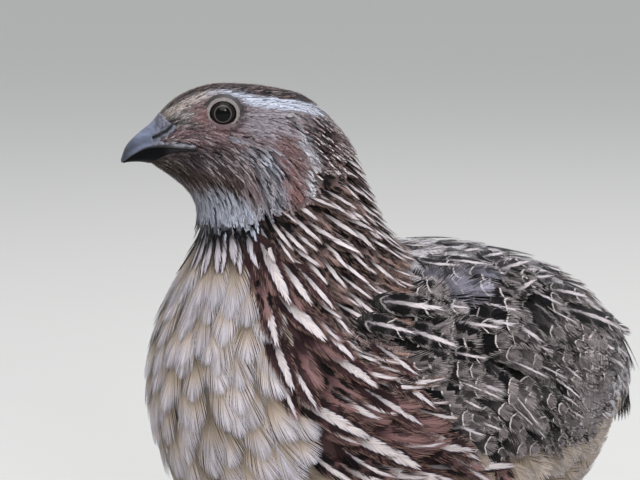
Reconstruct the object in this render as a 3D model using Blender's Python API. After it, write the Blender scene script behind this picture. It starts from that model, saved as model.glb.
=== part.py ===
"""A life-size coturnix quail cock, standing with its head turned to its right.

Run with: blender --background --python part.py
Metres, +Z up. The body faces +X, its left side is +Y, and the feet stand on z = 0.
The origin is under the middle of the bird's bounding box.
"""

import math

import bmesh
import bpy
import numpy as np
from mathutils import Matrix, Vector

MM = 0.001
GAP = 0.3  # clearance between touching nodes, mm
SIDES = 26  # points round the body and head
ROUNDNESS = 2.15  # power of the cross-sections: 2 is an ellipse, more is squarer
SHARP = math.radians(40)  # edges sharper than this stay sharp in the shading
WELD = 0.003  # points closer than this after the Booleans become one, mm

# The trunk and neck in side view. Each row is a cross-section:
# back point x and z, belly point x and z, half width, height share of the widest place,
# and how far the head's turn has reached there.
TRUNK = (
    (-55.0, 93.5, -51.0, 55.0, 15.5, 0.50, 0.0),
    (-46.0, 100.3, -40.0, 45.5, 23.0, 0.50, 0.0),
    (-31.0, 106.2, -22.0, 39.0, 29.0, 0.50, 0.0),
    (-14.0, 110.4, -1.0, 36.5, 32.5, 0.50, 0.0),
    (0.0, 112.0, 22.0, 37.5, 34.0, 0.49, 0.0),
    (8.0, 112.5, 44.0, 43.5, 34.5, 0.48, 0.0),
    (12.0, 114.0, 58.5, 57.0, 34.0, 0.46, 0.0),
    (14.5, 116.5, 65.5, 74.5, 31.5, 0.44, 0.0),
    (16.0, 119.5, 65.5, 91.0, 27.0, 0.44, 0.05),
    (17.5, 123.5, 60.5, 105.0, 22.0, 0.46, 0.25),
    (19.6, 129.5, 57.0, 113.5, 18.8, 0.48, 0.55),
    (22.4, 136.0, 56.0, 119.0, 16.6, 0.50, 0.80),
)
TORSO_STEPS = 19
NECK_FROM = 8.5  # row where the torso ends and the neck begins
EYE_AT = (51.0, 143.5)  # the eyes' place on the midline, x and z

# The head and bill, in rows as above but measured from the eyes.
HEAD = (
    (-23.6, -1.2, 5.2, -21.0, 14.8, 0.50, 0.95),
    (-18.6, 3.0, 6.0, -19.0, 13.2, 0.49, 1.0),
    (-12.0, 4.9, 7.2, -17.2, 11.6, 0.49, 1.0),
    (-5.0, 5.8, 9.2, -15.3, 10.2, 0.51, 1.0),
    (2.0, 5.8, 11.6, -13.5, 8.8, 0.52, 1.0),
    (8.0, 3.9, 13.6, -12.2, 7.1, 0.48, 1.0),
    (12.2, 0.8, 15.3, -11.3, 5.4, 0.43, 1.0),
    (14.9, -2.3, 17.0, -10.9, 4.0, 0.42, 1.0),
    (18.0, -4.8, 18.9, -10.8, 2.9, 0.40, 1.0),
    (20.5, -7.4, 20.4, -10.9, 1.7, 0.36, 1.0),
    (21.7, -10.3, 21.6, -11.2, 0.6, 0.40, 1.0),
)
HEAD_TURN = math.radians(-26.0)  # to the bird's right
TURN_AXIS_X = 34.0  # the neck's upright axis, which the head turns about

# The bill, measured from the eyes as the head is.
CULMEN_FEATHERS = (15.4, -1.0)  # where the forehead's feathers meet the horn
NOSTRIL_FEATHERS = (11.9, -2.9)  # the feathers' edge above and behind the nostril
NOSTRIL = ((14.9, -5.1), (14.6, -4.2), (12.6, -3.2), (12.7, -4.0))  # its slit, closed by a flap
NOSTRIL_IN = 2.4  # from the midline to the bottom of the slit
GAPE = (6.2, -7.7)  # the mouth's corner
BILL_ROOT = (10.4, -7.3)  # where the side feathers cross the mouth's line
CHIN_FEATHERS = (15.4, -11.6)
MOUTH = (BILL_ROOT, (14.3, -7.2), (17.0, -7.8), (19.5, -9.2), (21.4, -10.7), (24.0, -12.0))
ABOVE, UNDER, AHEAD = 14.0, -24.0, 30.0  # well outside the head, where cutters end
ASIDE = 14.0  # and to each side
FEATHER_LINE = (
    (CULMEN_FEATHERS[0] + 1.5, ABOVE),
    CULMEN_FEATHERS,
    NOSTRIL_FEATHERS,
    BILL_ROOT,
    CHIN_FEATHERS,
    (CHIN_FEATHERS[0] + 0.5, UNDER),
)
MOUTH_GROOVE = 0.25  # half width of the mouth's line behind the bill
MOUTH_GROOVE_IN = 4.0  # from the midline to the bottom of that line

# Eyes and lids
EYE_RADIUS = 3.9
EYE_SIDE = 5.3  # eye centre from the midline
EYE_OPEN = 2.75  # radius of the opening between the lids
LID_WIDTH = 0.8
LID_SUNK = 0.3  # how far the lids' rim is set in
LID_FLARE = 1.2  # how much the opening widens outwards, over its depth
LID_CUT = 9.0
EYE_FORWARD = math.radians(12.0)  # how far the eyes look forward

# The tail's feathered root, in rows like the trunk's
TAIL_ROOT = (
    (-55.0, 93.5, -51.0, 55.0, 15.5, 0.50, 0.0),
    (-61.5, 88.5, -52.5, 55.5, 13.5, 0.50, 0.0),
    (-65.5, 81.0, -54.5, 56.5, 10.5, 0.50, 0.0),
    (-66.5, 73.5, -57.0, 58.0, 7.0, 0.50, 0.0),
    (-64.5, 67.0, -60.5, 60.0, 3.0, 0.50, 0.0),
)
# Its tiers: name, how many, length and width, droop and spread, lift, root x and z
TAIL_TIERS = (
    ("tail_feather", 9, (32.0, 7.0), math.radians(98), math.radians(14), 1.9, -57.5, 88.5),
    ("tail_covert", 6, (22.0, 8.5), math.radians(74), math.radians(24), 2.6, -53.5, 93.0),
)
TAIL_ARCH = 1.8  # how far each feather rolls for its turn outwards
TAIL_STACK = 2.6  # how far the outermost feather lies under the middle one
TAIL_ROOTS_APART = 14.0  # how far a root stands aside, for each radian of its turn
TAIL_STATIONS = 12
DROOP_AT_ROOT = 0.55  # share of a tail feather's droop that it has at its root
OUTER_DROOP = 0.5  # more droop, for each radian turned outwards
OUTER_SHORTER = 0.12  # how much shorter the outermost feathers are

# Feathers are thin plates that taper to a blunt point.
VANE_THICK = 0.6
VANE_TILT = math.radians(9.0)  # lower edges stand out, like shingles
VANE_OUTLINE = ((0.0, 0.6), (0.3, 0.9), (0.6, 1.0), (0.85, 0.8), (1.0, 0.25))  # place, share of width

# The wings. A place on the body's side is an x at mid height and an angle round from the back.
WING_CORE = (
    # x, upper edge angle, lower edge angle, thickness
    (40.0, 62.0, 78.0, 1.0),
    (35.0, 50.0, 86.0, 2.4),
    (25.0, 40.0, 95.0, 3.2),
    (10.0, 33.0, 102.0, 3.0),
    (-8.0, 31.0, 100.0, 2.4),
    (-26.0, 34.0, 92.0, 1.5),
    (-40.0, 42.0, 82.0, 0.9),
)
# Each tier of wing feathers, from its lowest to its highest: how many, the first and last root,
# the first and last tip, as x and angle, the width, and how far root and tip stand off the body.
WING_TIERS = {
    "primary": (5, (10, 98), (-8, 80), (-42, 106), (-50, 82), 8.0, 1.3, 1.5),
    "secondary": (5, (16, 90), (-10, 54), (-36, 92), (-46, 58), 9.5, 1.4, 2.1),
    "tertial": (3, (0, 48), (-8, 36), (-42, 50), (-37, 38), 10.5, 1.6, 2.6),
    "greater_covert": (6, (26, 92), (10, 44), (-2, 98), (-18, 50), 10.0, 2.3, 3.7),
    "median_covert": (5, (34, 82), (24, 48), (14, 92), (0, 50), 10.0, 2.5, 4.5),
}

# Legs: the hock, the ankle over the foot, and the toes
HIP = (-2.0, 17.0, 58.0)
HOCK = (-13.0, 17.5, 33.0)
ANKLE = (-4.0, 18.0, 4.9)
THIGH_RADII = (13.0, 3.3)
SHANK_RADII = (2.2, 1.7)
TOES = (
    # name, length, angle out from straight ahead, radius at the root
    ("inner", 19.0, -32.0, 1.7),
    ("middle", 25.0, 2.0, 1.8),
    ("outer", 20.0, 34.0, 1.7),
    ("hind", 8.0, 172.0, 1.3),
)
TOE_STATIONS = 10
TOE_PAD = 7.0  # length of one pad
TOE_RISE = 0.9  # how much higher a toe is at the ankle
SOLE_CUT = 0.35  # how much the toes' undersides are flattened
CLAW_LENGTH = 4.6
CLAW_RADIUS = 0.8
CLAW_BEND = ((0.0, 0.0), (0.4, 0.2), (0.75, -0.1), (1.0, -0.65))  # place along, rise


def smooth_rows(rows, steps):
    """Rows on a Catmull-Rom curve through the given rows, with steps to each interval."""
    table = np.array(rows, float)
    padded = np.vstack([2 * table[0] - table[1], table, 2 * table[-1] - table[-2]])
    out = []
    for i in range(len(table) - 1):
        before, start, end, after = padded[i : i + 4]
        for step in range(steps):
            t = step / steps
            out.append(
                0.5
                * (
                    2 * start
                    + (end - before) * t
                    + (2 * before - 5 * start + 4 * end - after) * t**2
                    + (3 * start - before - 3 * end + after) * t**3
                )
            )
    out.append(table[-1])
    return np.array(out)


def row_at(rows, place):
    """The smooth row at a fractional place along the table."""
    fine = 20
    table = smooth_rows(rows, fine)
    return table[int(round(place * fine))]


def turned(points, share):
    """Points turned about the neck's axis by this share of the head's turn."""
    angle = HEAD_TURN * share
    c, s = math.cos(angle), math.sin(angle)
    x = points[:, 0] - TURN_AXIS_X
    y = points[:, 1]
    return np.stack([TURN_AXIS_X + c * x - s * y, s * x + c * y, points[:, 2]], axis=1)


def section(row, grow=0.0, sides=SIDES):
    """The closed cross-section of one row, as points round the body from the back."""
    back, belly = np.array(row[0:2]), np.array(row[2:4])
    middle = belly + row[5] * (back - belly)
    upward = (back - belly) / np.linalg.norm(back - belly)
    above = np.linalg.norm(back - middle) + grow
    below = np.linalg.norm(middle - belly) + grow
    angle = np.arange(sides) * 2 * math.pi / sides
    c, s = np.cos(angle), np.sin(angle)
    power = 2 / ROUNDNESS
    rise = np.sign(c) * np.abs(c) ** power * np.where(c > 0, above, below)
    side = np.sign(s) * np.abs(s) ** power * (row[4] + grow)
    points = np.stack([middle[0] + upward[0] * rise, side, middle[1] + upward[1] * rise], axis=1)
    return turned(points, row[6])


def head_rows():
    """The head's rows moved from the eyes' frame to the body's."""
    table = np.array(HEAD, float)
    table[:, [0, 2]] += EYE_AT[0]
    table[:, [1, 3]] += EYE_AT[1]
    return table


def skin_faces(rings, sides):
    """Side quads between rings and a fan at each end, all facing out."""
    faces = []
    for i in range(rings - 1):
        for j in range(sides):
            k = (j + 1) % sides
            faces.append((i * sides + j, i * sides + k, (i + 1) * sides + k, (i + 1) * sides + j))
    first, last = rings * sides, rings * sides + 1
    top = (rings - 1) * sides
    for j in range(sides):
        k = (j + 1) % sides
        faces.append((first, k, j))
        faces.append((last, top + j, top + k))
    return faces


def loft(sections):
    """Vertices and faces of a closed body through cross-sections of equal length."""
    rings = np.array(sections)
    ends = np.stack([rings[0].mean(axis=0), rings[-1].mean(axis=0)])
    points = np.vstack([rings.reshape(-1, 3), ends])
    return points, skin_faces(len(rings), rings.shape[1])


def new_mesh(name, points, faces):
    """A mesh from points in millimetres, with its faces turned outwards."""
    mesh = bpy.data.meshes.new(name)
    mesh.from_pydata([tuple(p) for p in np.asarray(points) * MM], [], faces)
    mesh.update()
    if signed_volume(mesh) < 0:
        mesh.flip_normals()
    return mesh


def signed_volume(mesh):
    """The mesh's volume, negative where its faces point inwards."""
    mesh.calc_loop_triangles()
    points = np.array([v.co[:] for v in mesh.vertices])
    corners = points[np.array([t.vertices[:] for t in mesh.loop_triangles])]
    return np.einsum("ij,ij->i", corners[:, 0], np.cross(corners[:, 1], corners[:, 2])).sum() / 6


def material(name, colour, roughness):
    """A Principled material, made once for each name."""
    found = bpy.data.materials.get(name)
    if found:
        return found
    made = bpy.data.materials.new(name)
    made.use_nodes = True
    shader = made.node_tree.nodes["Principled BSDF"]
    shader.inputs["Base Color"].default_value = (*colour, 1.0)
    shader.inputs["Roughness"].default_value = roughness
    shader.inputs["Metallic"].default_value = 0.0
    return made


def add_object(name, mesh, finish):
    """A scene object with its material, shaded smooth except at sharp edges."""
    obj = bpy.data.objects.new(name, mesh)
    bpy.context.scene.collection.objects.link(obj)
    if finish:
        mesh.materials.clear()
        mesh.materials.append(finish)
    mesh.shade_smooth()
    mesh.set_sharp_from_angle(angle=SHARP)
    return obj


def helper(name, points, faces):
    """An object used only to cut or join others, hidden from the finished model."""
    obj = add_object(name, new_mesh(name, points, faces), None)
    obj.hide_render = True
    obj.display_type = "WIRE"
    return obj


def bake_modifiers(obj):
    """Gives the object the mesh that its modifiers make, and removes them."""
    graph = bpy.context.evaluated_depsgraph_get()
    made = bpy.data.meshes.new_from_object(obj.evaluated_get(graph), depsgraph=graph)
    obj.modifiers.clear()
    old = obj.data
    obj.data = made
    bpy.data.meshes.remove(old)


def boolean(obj, other, operation, solver="EXACT"):
    """Applies one Boolean with another object, which is kept."""
    modifier = obj.modifiers.new(operation.lower(), "BOOLEAN")
    modifier.operation = operation
    modifier.solver = solver
    modifier.object = other
    bake_modifiers(obj)


def unite(obj, pieces):
    """Joins closed pieces to an object by one Boolean on their collection.

    The exact solver takes minutes over this many overlapping plates, so the manifold one is used.
    """
    group = bpy.data.collections.new(obj.name + "_pieces")
    bpy.context.scene.collection.children.link(group)
    for piece in pieces:
        bpy.context.scene.collection.objects.unlink(piece)
        group.objects.link(piece)
    modifier = obj.modifiers.new("union", "BOOLEAN")
    modifier.operation = "UNION"
    modifier.solver = "MANIFOLD"
    modifier.operand_type = "COLLECTION"
    modifier.collection = group
    bake_modifiers(obj)
    for piece in pieces:
        discard(piece)
    bpy.data.collections.remove(group)
    keep_largest_surface(obj)


def discard(obj):
    """Removes a helper object and its mesh."""
    mesh = obj.data
    bpy.data.objects.remove(obj)
    bpy.data.meshes.remove(mesh)


def keep_largest_surface(obj):
    """Drops sealed hollows and loose scraps, keeping the surface of greatest volume."""
    mesh = obj.data
    mesh.calc_loop_triangles()
    points = np.array([v.co[:] for v in mesh.vertices])
    faces = np.array([t.vertices[:] for t in mesh.loop_triangles])
    owner = np.arange(len(points))
    while True:
        low = owner[faces].min(axis=1)
        spread = owner.copy()
        np.minimum.at(spread, faces.ravel(), np.repeat(low, 3))
        spread = spread[spread]
        if (spread == owner).all():
            break
        owner = spread
    corners = points[faces]
    share = np.einsum("ij,ij->i", corners[:, 0], np.cross(corners[:, 1], corners[:, 2])) / 6
    shells, index = np.unique(owner[faces[:, 0]], return_inverse=True)
    if len(shells) == 1:
        return
    best = np.argmax(np.bincount(index, weights=share))
    kept = faces[index == best]
    used, renumbered = np.unique(kept, return_inverse=True)
    finish = mesh.materials[0] if mesh.materials else None
    fresh = bpy.data.meshes.new(mesh.name)
    fresh.from_pydata(points[used].tolist(), [], renumbered.reshape(-1, 3).tolist())
    fresh.update()
    if finish:
        fresh.materials.append(finish)
    obj.data = fresh
    bpy.data.meshes.remove(mesh)
    fresh.shade_smooth()
    fresh.set_sharp_from_angle(angle=SHARP)


def shifted(row, other, distance):
    """A row moved towards another row's middle by a distance in millimetres."""
    row, other = np.array(row, float), np.array(other, float)
    middle = (row[0:2] + row[2:4]) / 2
    aim = (other[0:2] + other[2:4]) / 2 - middle
    step = aim / np.linalg.norm(aim) * distance
    out = row.copy()
    out[0:2] += step
    out[2:4] += step
    return out


def trunk_rows(start, end, steps):
    """Evenly spaced smooth rows of the trunk between two places along its table."""
    return [row_at(TRUNK, start + (end - start) * i / steps) for i in range(steps + 1)]


def build_torso(finish):
    """The trunk from the tail's root to the base of the neck."""
    rows = trunk_rows(0, NECK_FROM, TORSO_STEPS)
    rows[-1] = shifted(rows[-1], rows[-2], GAP / 2)
    return add_object("torso", new_mesh("torso", *loft([section(r) for r in rows])), finish)


def build_neck(finish):
    """The thick feathered neck, from the torso to the back of the head."""
    rows = trunk_rows(NECK_FROM, len(TRUNK) - 1, 6)
    rows[0] = shifted(rows[0], rows[1], GAP / 2)
    last = head_rows()[0]
    rows[-1] = (rows[-1] + rows[-2]) / 2
    rows.append(shifted(last, rows[-1], GAP / 2))
    return add_object("neck", new_mesh("neck", *loft([section(r) for r in rows])), finish)


def build_whole_head():
    """Head and bill as one body, before they are parted."""
    rows = smooth_rows(head_rows(), 2)
    rows[0] = shifted(rows[0], rows[1], GAP / 2)
    return [section(r) for r in rows]


def head_place(x, y, z):
    """A point given from the eyes, moved to the body's frame with the head's turn."""
    points = np.array([[EYE_AT[0] + x, y, EYE_AT[1] + z]])
    return turned(points, 1.0)[0]


def head_prism(name, outline, sides=(-ASIDE, ASIDE)):
    """A cutter: an outline in the head's side view, drawn out from one side to the other."""
    count = len(outline)
    points = [head_place(x, side, z) for side in sides for x, z in outline]
    faces = [tuple(range(count)), tuple(range(2 * count - 1, count - 1, -1))]
    for i in range(count):
        j = (i + 1) % count
        faces.append((i, i + count, j + count, j))
    return helper(name, points, faces)


def beside(line, distance):
    """A line in side view moved to its left by a distance."""
    points = np.array(line, float)
    along = np.gradient(points, axis=0)
    along /= np.linalg.norm(along, axis=1, keepdims=True)
    return [tuple(p) for p in points + distance * np.stack([-along[:, 1], along[:, 0]], axis=1)]


def cut_away(obj, outline, operation="DIFFERENCE", sides=(-ASIDE, ASIDE)):
    """Cuts an object by an outline drawn through it from side to side.

    The exact solver leaves open edges where these cutters meet the loft, so the manifold one is used.
    """
    cutter = head_prism("cutter", outline, sides)
    boolean(obj, cutter, operation, "MANIFOLD")
    discard(cutter)


def ball(centre, radius, rings=9, sides=14, axis=(0.0, 0.0, 1.0)):
    """Vertices and faces of a sphere with its poles on an axis."""
    turn = Vector((0, 0, 1)).rotation_difference(Vector(axis)).to_matrix()
    sections = []
    for i in range(1, rings):
        tilt = math.pi * i / rings
        ring = []
        for j in range(sides):
            around = 2 * math.pi * j / sides
            reach = math.sin(tilt)
            flat = Vector((math.cos(around) * reach, math.sin(around) * reach, -math.cos(tilt)))
            ring.append(Vector(centre) + radius * (turn @ flat))
        sections.append([tuple(p) for p in ring])
    points = [p for ring in sections for p in ring]
    points.append(tuple(Vector(centre) + radius * (turn @ Vector((0, 0, -1)))))
    points.append(tuple(Vector(centre) + radius * (turn @ Vector((0, 0, 1)))))
    return np.array(points), skin_faces(rings - 1, sides)


def ring_tube(centre, axis, radius, width, sides=18, around=6):
    """Vertices and faces of a torus about an axis."""
    turn = Vector((0, 0, 1)).rotation_difference(Vector(axis)).to_matrix()
    points, faces = [], []
    for i in range(sides):
        a = 2 * math.pi * i / sides
        for j in range(around):
            b = 2 * math.pi * j / around
            reach = radius + width * math.cos(b)
            local = Vector((reach * math.cos(a), reach * math.sin(a), width * math.sin(b)))
            points.append(tuple(Vector(centre) + turn @ local))
            n, m = (i + 1) % sides, (j + 1) % around
            faces.append((i * around + j, n * around + j, n * around + m, i * around + m))
    return np.array(points), faces


def eye_frame(side):
    """Centre and outward axis of one eye; side is 1 for the left and -1 for the right."""
    centre = head_place(0.0, side * EYE_SIDE, 0.0)
    ahead = head_place(math.sin(EYE_FORWARD), side * (EYE_SIDE + math.cos(EYE_FORWARD)), 0.0)
    axis = ahead - centre
    return centre, axis / np.linalg.norm(axis)


def build_head(finish):
    """The feathered head, with lids round the eyes and the mouth's line to its corner."""
    head = add_object("head", new_mesh("head", *loft(build_whole_head())), finish)
    cut_away(head, beside(FEATHER_LINE, -GAP / 2) + [(AHEAD, UNDER), (AHEAD, ABOVE)])
    for side in (1, -1):
        centre, axis = eye_frame(side)
        reach = EYE_OPEN + LID_WIDTH
        rise = math.sqrt((EYE_RADIUS + GAP) ** 2 - EYE_OPEN**2) - LID_SUNK
        lids = helper("lids", *ring_tube(centre + axis * rise, axis, reach, LID_WIDTH))
        unite(head, [lids])
        socket = helper("socket", *ball(centre, EYE_RADIUS + GAP, axis=axis))
        flare = (EYE_OPEN, EYE_OPEN + LID_FLARE)
        opening = helper("opening", *tube([centre, centre + axis * LID_CUT], flare, 18))
        for cutter in (socket, opening):
            boolean(head, cutter, "DIFFERENCE", "MANIFOLD")
            discard(cutter)
        wide = [(BILL_ROOT[0] + 1.0, BILL_ROOT[1] + rise * MOUTH_GROOVE) for rise in (-1, 1)]
        cut_away(head, [GAPE, *wide], sides=sorted((side * MOUTH_GROOVE_IN, side * ASIDE)))
    keep_largest_surface(head)
    return head


def build_bill(finish):
    """Both halves of the bill, with the nostrils' slits."""
    upper = add_object("upper_bill", new_mesh("upper_bill", *loft(build_whole_head())), finish)
    lower = add_object("lower_bill", new_mesh("lower_bill", *loft(build_whole_head())), finish)
    horn_side = beside(FEATHER_LINE, GAP / 2) + [(AHEAD, UNDER), (AHEAD, ABOVE)]
    mouth = [(MOUTH[0][0] - 4.0, MOUTH[0][1]), *MOUTH]
    for half in (upper, lower):
        cut_away(half, horn_side, "INTERSECT")
    cut_away(upper, beside(mouth, GAP / 2) + [(AHEAD, UNDER), (0.0, UNDER)])
    cut_away(lower, beside(mouth, -GAP / 2) + [(AHEAD, ABOVE), (0.0, ABOVE)])
    for side in (1, -1):
        cut_away(upper, NOSTRIL, sides=sorted((side * NOSTRIL_IN, side * ASIDE)))
    for half in (upper, lower):
        keep_largest_surface(half)


def build_eyes(finish):
    """Both eyeballs."""
    for side, name in ((1, "eye_left"), (-1, "eye_right")):
        centre, axis = eye_frame(side)
        add_object(name, new_mesh(name, *ball(centre, EYE_RADIUS, axis=axis)), finish)


def trunk_place(x):
    """The trunk row whose middle is at this x."""
    fine = smooth_rows(TRUNK[:9], 20)
    middles = (fine[:, 0] + fine[:, 2]) / 2
    spot = np.interp(x, middles, np.arange(len(fine)))
    low = min(int(spot), len(fine) - 2)
    return fine[low] + (fine[low + 1] - fine[low]) * (spot - low)


def on_side(x, degrees, lift, side=1):
    """A point on the trunk's side, lifted off its skin; side is 1 for left, -1 for right."""
    row = trunk_place(x)
    back, belly = row[0:2], row[2:4]
    middle = belly + row[5] * (back - belly)
    upward = (back - belly) / np.linalg.norm(back - belly)
    c, s = math.cos(math.radians(degrees)), math.sin(math.radians(degrees))
    power = 2 / ROUNDNESS
    above = np.linalg.norm(back - middle) + lift
    below = np.linalg.norm(middle - belly) + lift
    rise = math.copysign(abs(c) ** power, c) * (above if c > 0 else below)
    out = abs(s) ** power * (row[4] + lift)
    return np.array([middle[0] + upward[0] * rise, side * out, middle[1] + upward[1] * rise])


def plate(grid, normals, thick):
    """Vertices and faces of a thin closed plate over a grid of points, with both faces alike."""
    rows, columns = grid.shape[:2]
    points = np.concatenate([grid + normals * thick / 2, grid - normals * thick / 2])
    points = points.reshape(-1, 3)
    shift = rows * columns
    faces = []
    for i in range(rows - 1):
        for j in range(columns - 1):
            a, b = i * columns + j, i * columns + j + 1
            c, d = a + columns, b + columns
            faces += [(a, b, d), (a, d, c)]
            faces += [(b + shift, a + shift, d + shift), (d + shift, a + shift, c + shift)]
    edge = [(0, j) for j in range(columns)] + [(i, columns - 1) for i in range(1, rows)]
    edge += [(rows - 1, j) for j in range(columns - 2, -1, -1)] + [(i, 0) for i in range(rows - 2, 0, -1)]
    ring = [i * columns + j for i, j in edge]
    for a, b in zip(ring, ring[1:] + ring[:1]):
        faces += [(b, a, a + shift), (b, a + shift, b + shift)]
    return points, faces


def vane(name, line, across, normals, width):
    """One feather: a plate along a line, as wide as a feather is at each place."""
    grid = [
        [here + sideways * width * share * half for half in (-0.5, 0.0, 0.5)]
        for here, sideways, (_, share) in zip(line, across, VANE_OUTLINE)
    ]
    faced = np.repeat(np.array(normals)[:, None, :], 3, axis=1)
    return helper(name, *plate(np.array(grid), faced, VANE_THICK))


def side_vane(name, root, tip, width, lifts):
    """A wing feather on the left side, from a root place to a tip place over the body."""
    line, across, normals = [], [], []
    for t, _ in VANE_OUTLINE:
        x = root[0] + (tip[0] - root[0]) * t
        angle = root[1] + (tip[1] - root[1]) * t
        lift = lifts[0] + (lifts[1] - lifts[0]) * t
        here = on_side(x, angle, lift)
        ahead = on_side(x - 1.0, angle + (tip[1] - root[1]) / (root[0] - tip[0]), lift) - here
        outward = on_side(x, angle, lift + 1.0) - here
        sideways = np.cross(ahead, outward)
        sideways /= np.linalg.norm(sideways)
        outward = np.cross(sideways, ahead)
        outward /= np.linalg.norm(outward)
        if sideways[2] > 0:
            sideways = -sideways
        tilted = sideways * math.cos(VANE_TILT) + outward * math.sin(VANE_TILT)
        line.append(here)
        across.append(tilted)
        normals.append(outward * math.cos(VANE_TILT) - sideways * math.sin(VANE_TILT))
    return vane(name, line, across, normals, width)


def tier(name, count, root_low, root_high, tip_low, tip_high, width, lift_root, lift_tip):
    """A row of overlapping wing feathers, from the lowest to the highest."""
    pieces = []
    for i in range(count):
        t = i / (count - 1)
        root = [a + (b - a) * t for a, b in zip(root_low, root_high)]
        tip = [a + (b - a) * t for a, b in zip(tip_low, tip_high)]
        pieces.append(side_vane(f"{name}_{i}", root, tip, width, (lift_root, lift_tip)))
    return pieces


def wing_core_sections(columns=9):
    """Closed sections of the wing's flesh: out along its face and back along the body."""
    sections = []
    for x, upper, lower, thick in smooth_rows(WING_CORE, 2):
        outer, inner = [], []
        for j in range(columns):
            t = j / (columns - 1)
            angle = upper + (lower - upper) * t
            swell = 0.35 + 0.65 * math.sin(math.pi * t) ** 0.5
            outer.append(on_side(x, angle, GAP + thick * swell))
            inner.append(on_side(x, angle, -0.4))
        sections.append(outer + inner[::-1])
    return sections


def build_wings(finish):
    """Both folded wings, each one piece: the arm and hand with their flight feathers and coverts."""
    wing = add_object("wing_left", new_mesh("wing_left", *loft(wing_core_sections())), finish)
    pieces = []
    for name, rule in WING_TIERS.items():
        pieces += tier(name, *rule)
    unite(wing, pieces)
    body = grown_torso()
    boolean(wing, body, "DIFFERENCE", "MANIFOLD")
    discard(body)
    keep_largest_surface(wing)
    other = mirrored_copy(wing, "wing_right")
    return wing, other


def mirrored_copy(obj, name):
    """The object's mirror image on the bird's other side."""
    mesh = obj.data.copy()
    mesh.transform(Matrix.Scale(-1, 4, (0, 1, 0)))
    mesh.flip_normals()
    copy = bpy.data.objects.new(name, mesh)
    bpy.context.scene.collection.objects.link(copy)
    return copy


def tail_line(out, lift, length, droop, base_x, base_z):
    """Points down one tail feather, from its root to its tip, turned outwards by an angle."""
    points, normals, sideways = [], [], []
    spot = np.array([base_x, out * TAIL_ROOTS_APART, base_z])
    step = length / TAIL_STATIONS
    roll = out * TAIL_ARCH
    wanted = {round(place * TAIL_STATIONS) for place, _ in VANE_OUTLINE}
    for i in range(TAIL_STATIONS + 1):
        down = droop * (DROOP_AT_ROOT + (1 - DROOP_AT_ROOT) * i / TAIL_STATIONS)
        level, sink = math.cos(down) * math.cos(out), math.sin(down) * math.cos(out)
        ahead = np.array([-level, math.sin(out), -sink])
        if i in wanted:
            upward = np.array([-math.sin(down), 0.0, math.cos(down)])
            flat = np.cross(upward, ahead)
            flat /= np.linalg.norm(flat)
            normal = np.cross(ahead, flat)
            normals.append(normal * math.cos(roll) - flat * math.sin(roll))
            sideways.append(flat * math.cos(roll) + normal * math.sin(roll))
            points.append(spot + upward * lift)
        spot = spot + ahead * step
    return points, sideways, normals


def build_tail(finish):
    """The drooping tail: its feathered root, the tail feathers and the coverts over them."""
    rows = smooth_rows(TAIL_ROOT, 2)
    rows[0] = shifted(rows[0], rows[1], GAP)
    tail = add_object("tail", new_mesh("tail", *loft([section(r) for r in rows])), finish)
    pieces = []
    for name, count, (length, width), droop, spread, lift, x, z in TAIL_TIERS:
        for i in range(count):
            out = (i / (count - 1) * 2 - 1) * spread
            outer = abs(out) / spread
            reach = length * (1 - OUTER_SHORTER * outer)
            line = tail_line(out, lift - outer * TAIL_STACK, reach, droop + abs(out) * OUTER_DROOP, x, z)
            pieces.append(vane(f"{name}_{i}", *line, width))
    unite(tail, pieces)
    body = grown_torso()
    boolean(tail, body, "DIFFERENCE", "MANIFOLD")
    discard(body)
    keep_largest_surface(tail)
    return tail


def tube(points, radii, sides=10, ends=None):
    """Vertices and faces of a closed tube along points, with its end faces square or as given."""
    path = np.array(points, float)
    along = np.gradient(path, axis=0)
    along /= np.linalg.norm(along, axis=1, keepdims=True)
    if ends is not None:
        along[0], along[-1] = [e if e is not None else a for e, a in zip(ends, along[[0, -1]])]
    sideways = np.cross(along[0], (0.0, 1.0, 0.0))
    sideways /= np.linalg.norm(sideways)
    sections = []
    for centre, ahead, radius in zip(path, along, radii):
        sideways = sideways - ahead * sideways.dot(ahead)
        sideways /= np.linalg.norm(sideways)
        other = np.cross(ahead, sideways)
        angles = np.arange(sides) * 2 * math.pi / sides
        ring = [centre + radius * (math.cos(a) * sideways + math.sin(a) * other) for a in angles]
        sections.append(ring)
    return loft(sections)


def build_thigh(word, hip, hock, joint, body, finish):
    """The feathered lower end of a thigh, from the belly to the hock."""
    shares = np.linspace(0, 1, 7)
    path = [hip + (hock - joint * GAP / 2 - hip) * t for t in shares]
    radii = [THIGH_RADII[0] + (THIGH_RADII[1] - THIGH_RADII[0]) * t**0.8 for t in shares]
    thigh = add_object(f"thigh_{word}", new_mesh("thigh", *tube(path, radii, 16, (None, joint))), finish)
    boolean(thigh, body, "DIFFERENCE", "MANIFOLD")
    keep_largest_surface(thigh)


def build_shank(word, start, end, joint, finish):
    """The bare shank, thickest at its ends."""
    shares = np.linspace(0, 1, 9)
    down = (end - start) / np.linalg.norm(end - start)
    path = [start + joint * GAP / 2 + (end - down * GAP / 2 - start - joint * GAP / 2) * t for t in shares]
    radii = [SHANK_RADII[1] + (SHANK_RADII[0] - SHANK_RADII[1]) * (2 * t - 1) ** 4 for t in shares]
    add_object(f"shank_{word}", new_mesh("shank", *tube(path, radii, 12, (joint, down))), finish)


def toe_path(start, ahead, length, radius):
    """The middle line and radii of a toe, lying on the floor with its pads."""
    along = np.linspace(0, 1, TOE_STATIONS)
    pads = 1 + 0.1 * np.cos(along * 2 * math.pi * max(1, round(length / TOE_PAD)))
    radii = radius * (1 - 0.28 * along) * pads
    rise = TOE_RISE * np.clip(1 - along / 0.3, 0, 1) ** 2
    path = start + ahead * length * along[:, None]
    path[:, 2] = radii - SOLE_CUT + rise
    return path, radii


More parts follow.
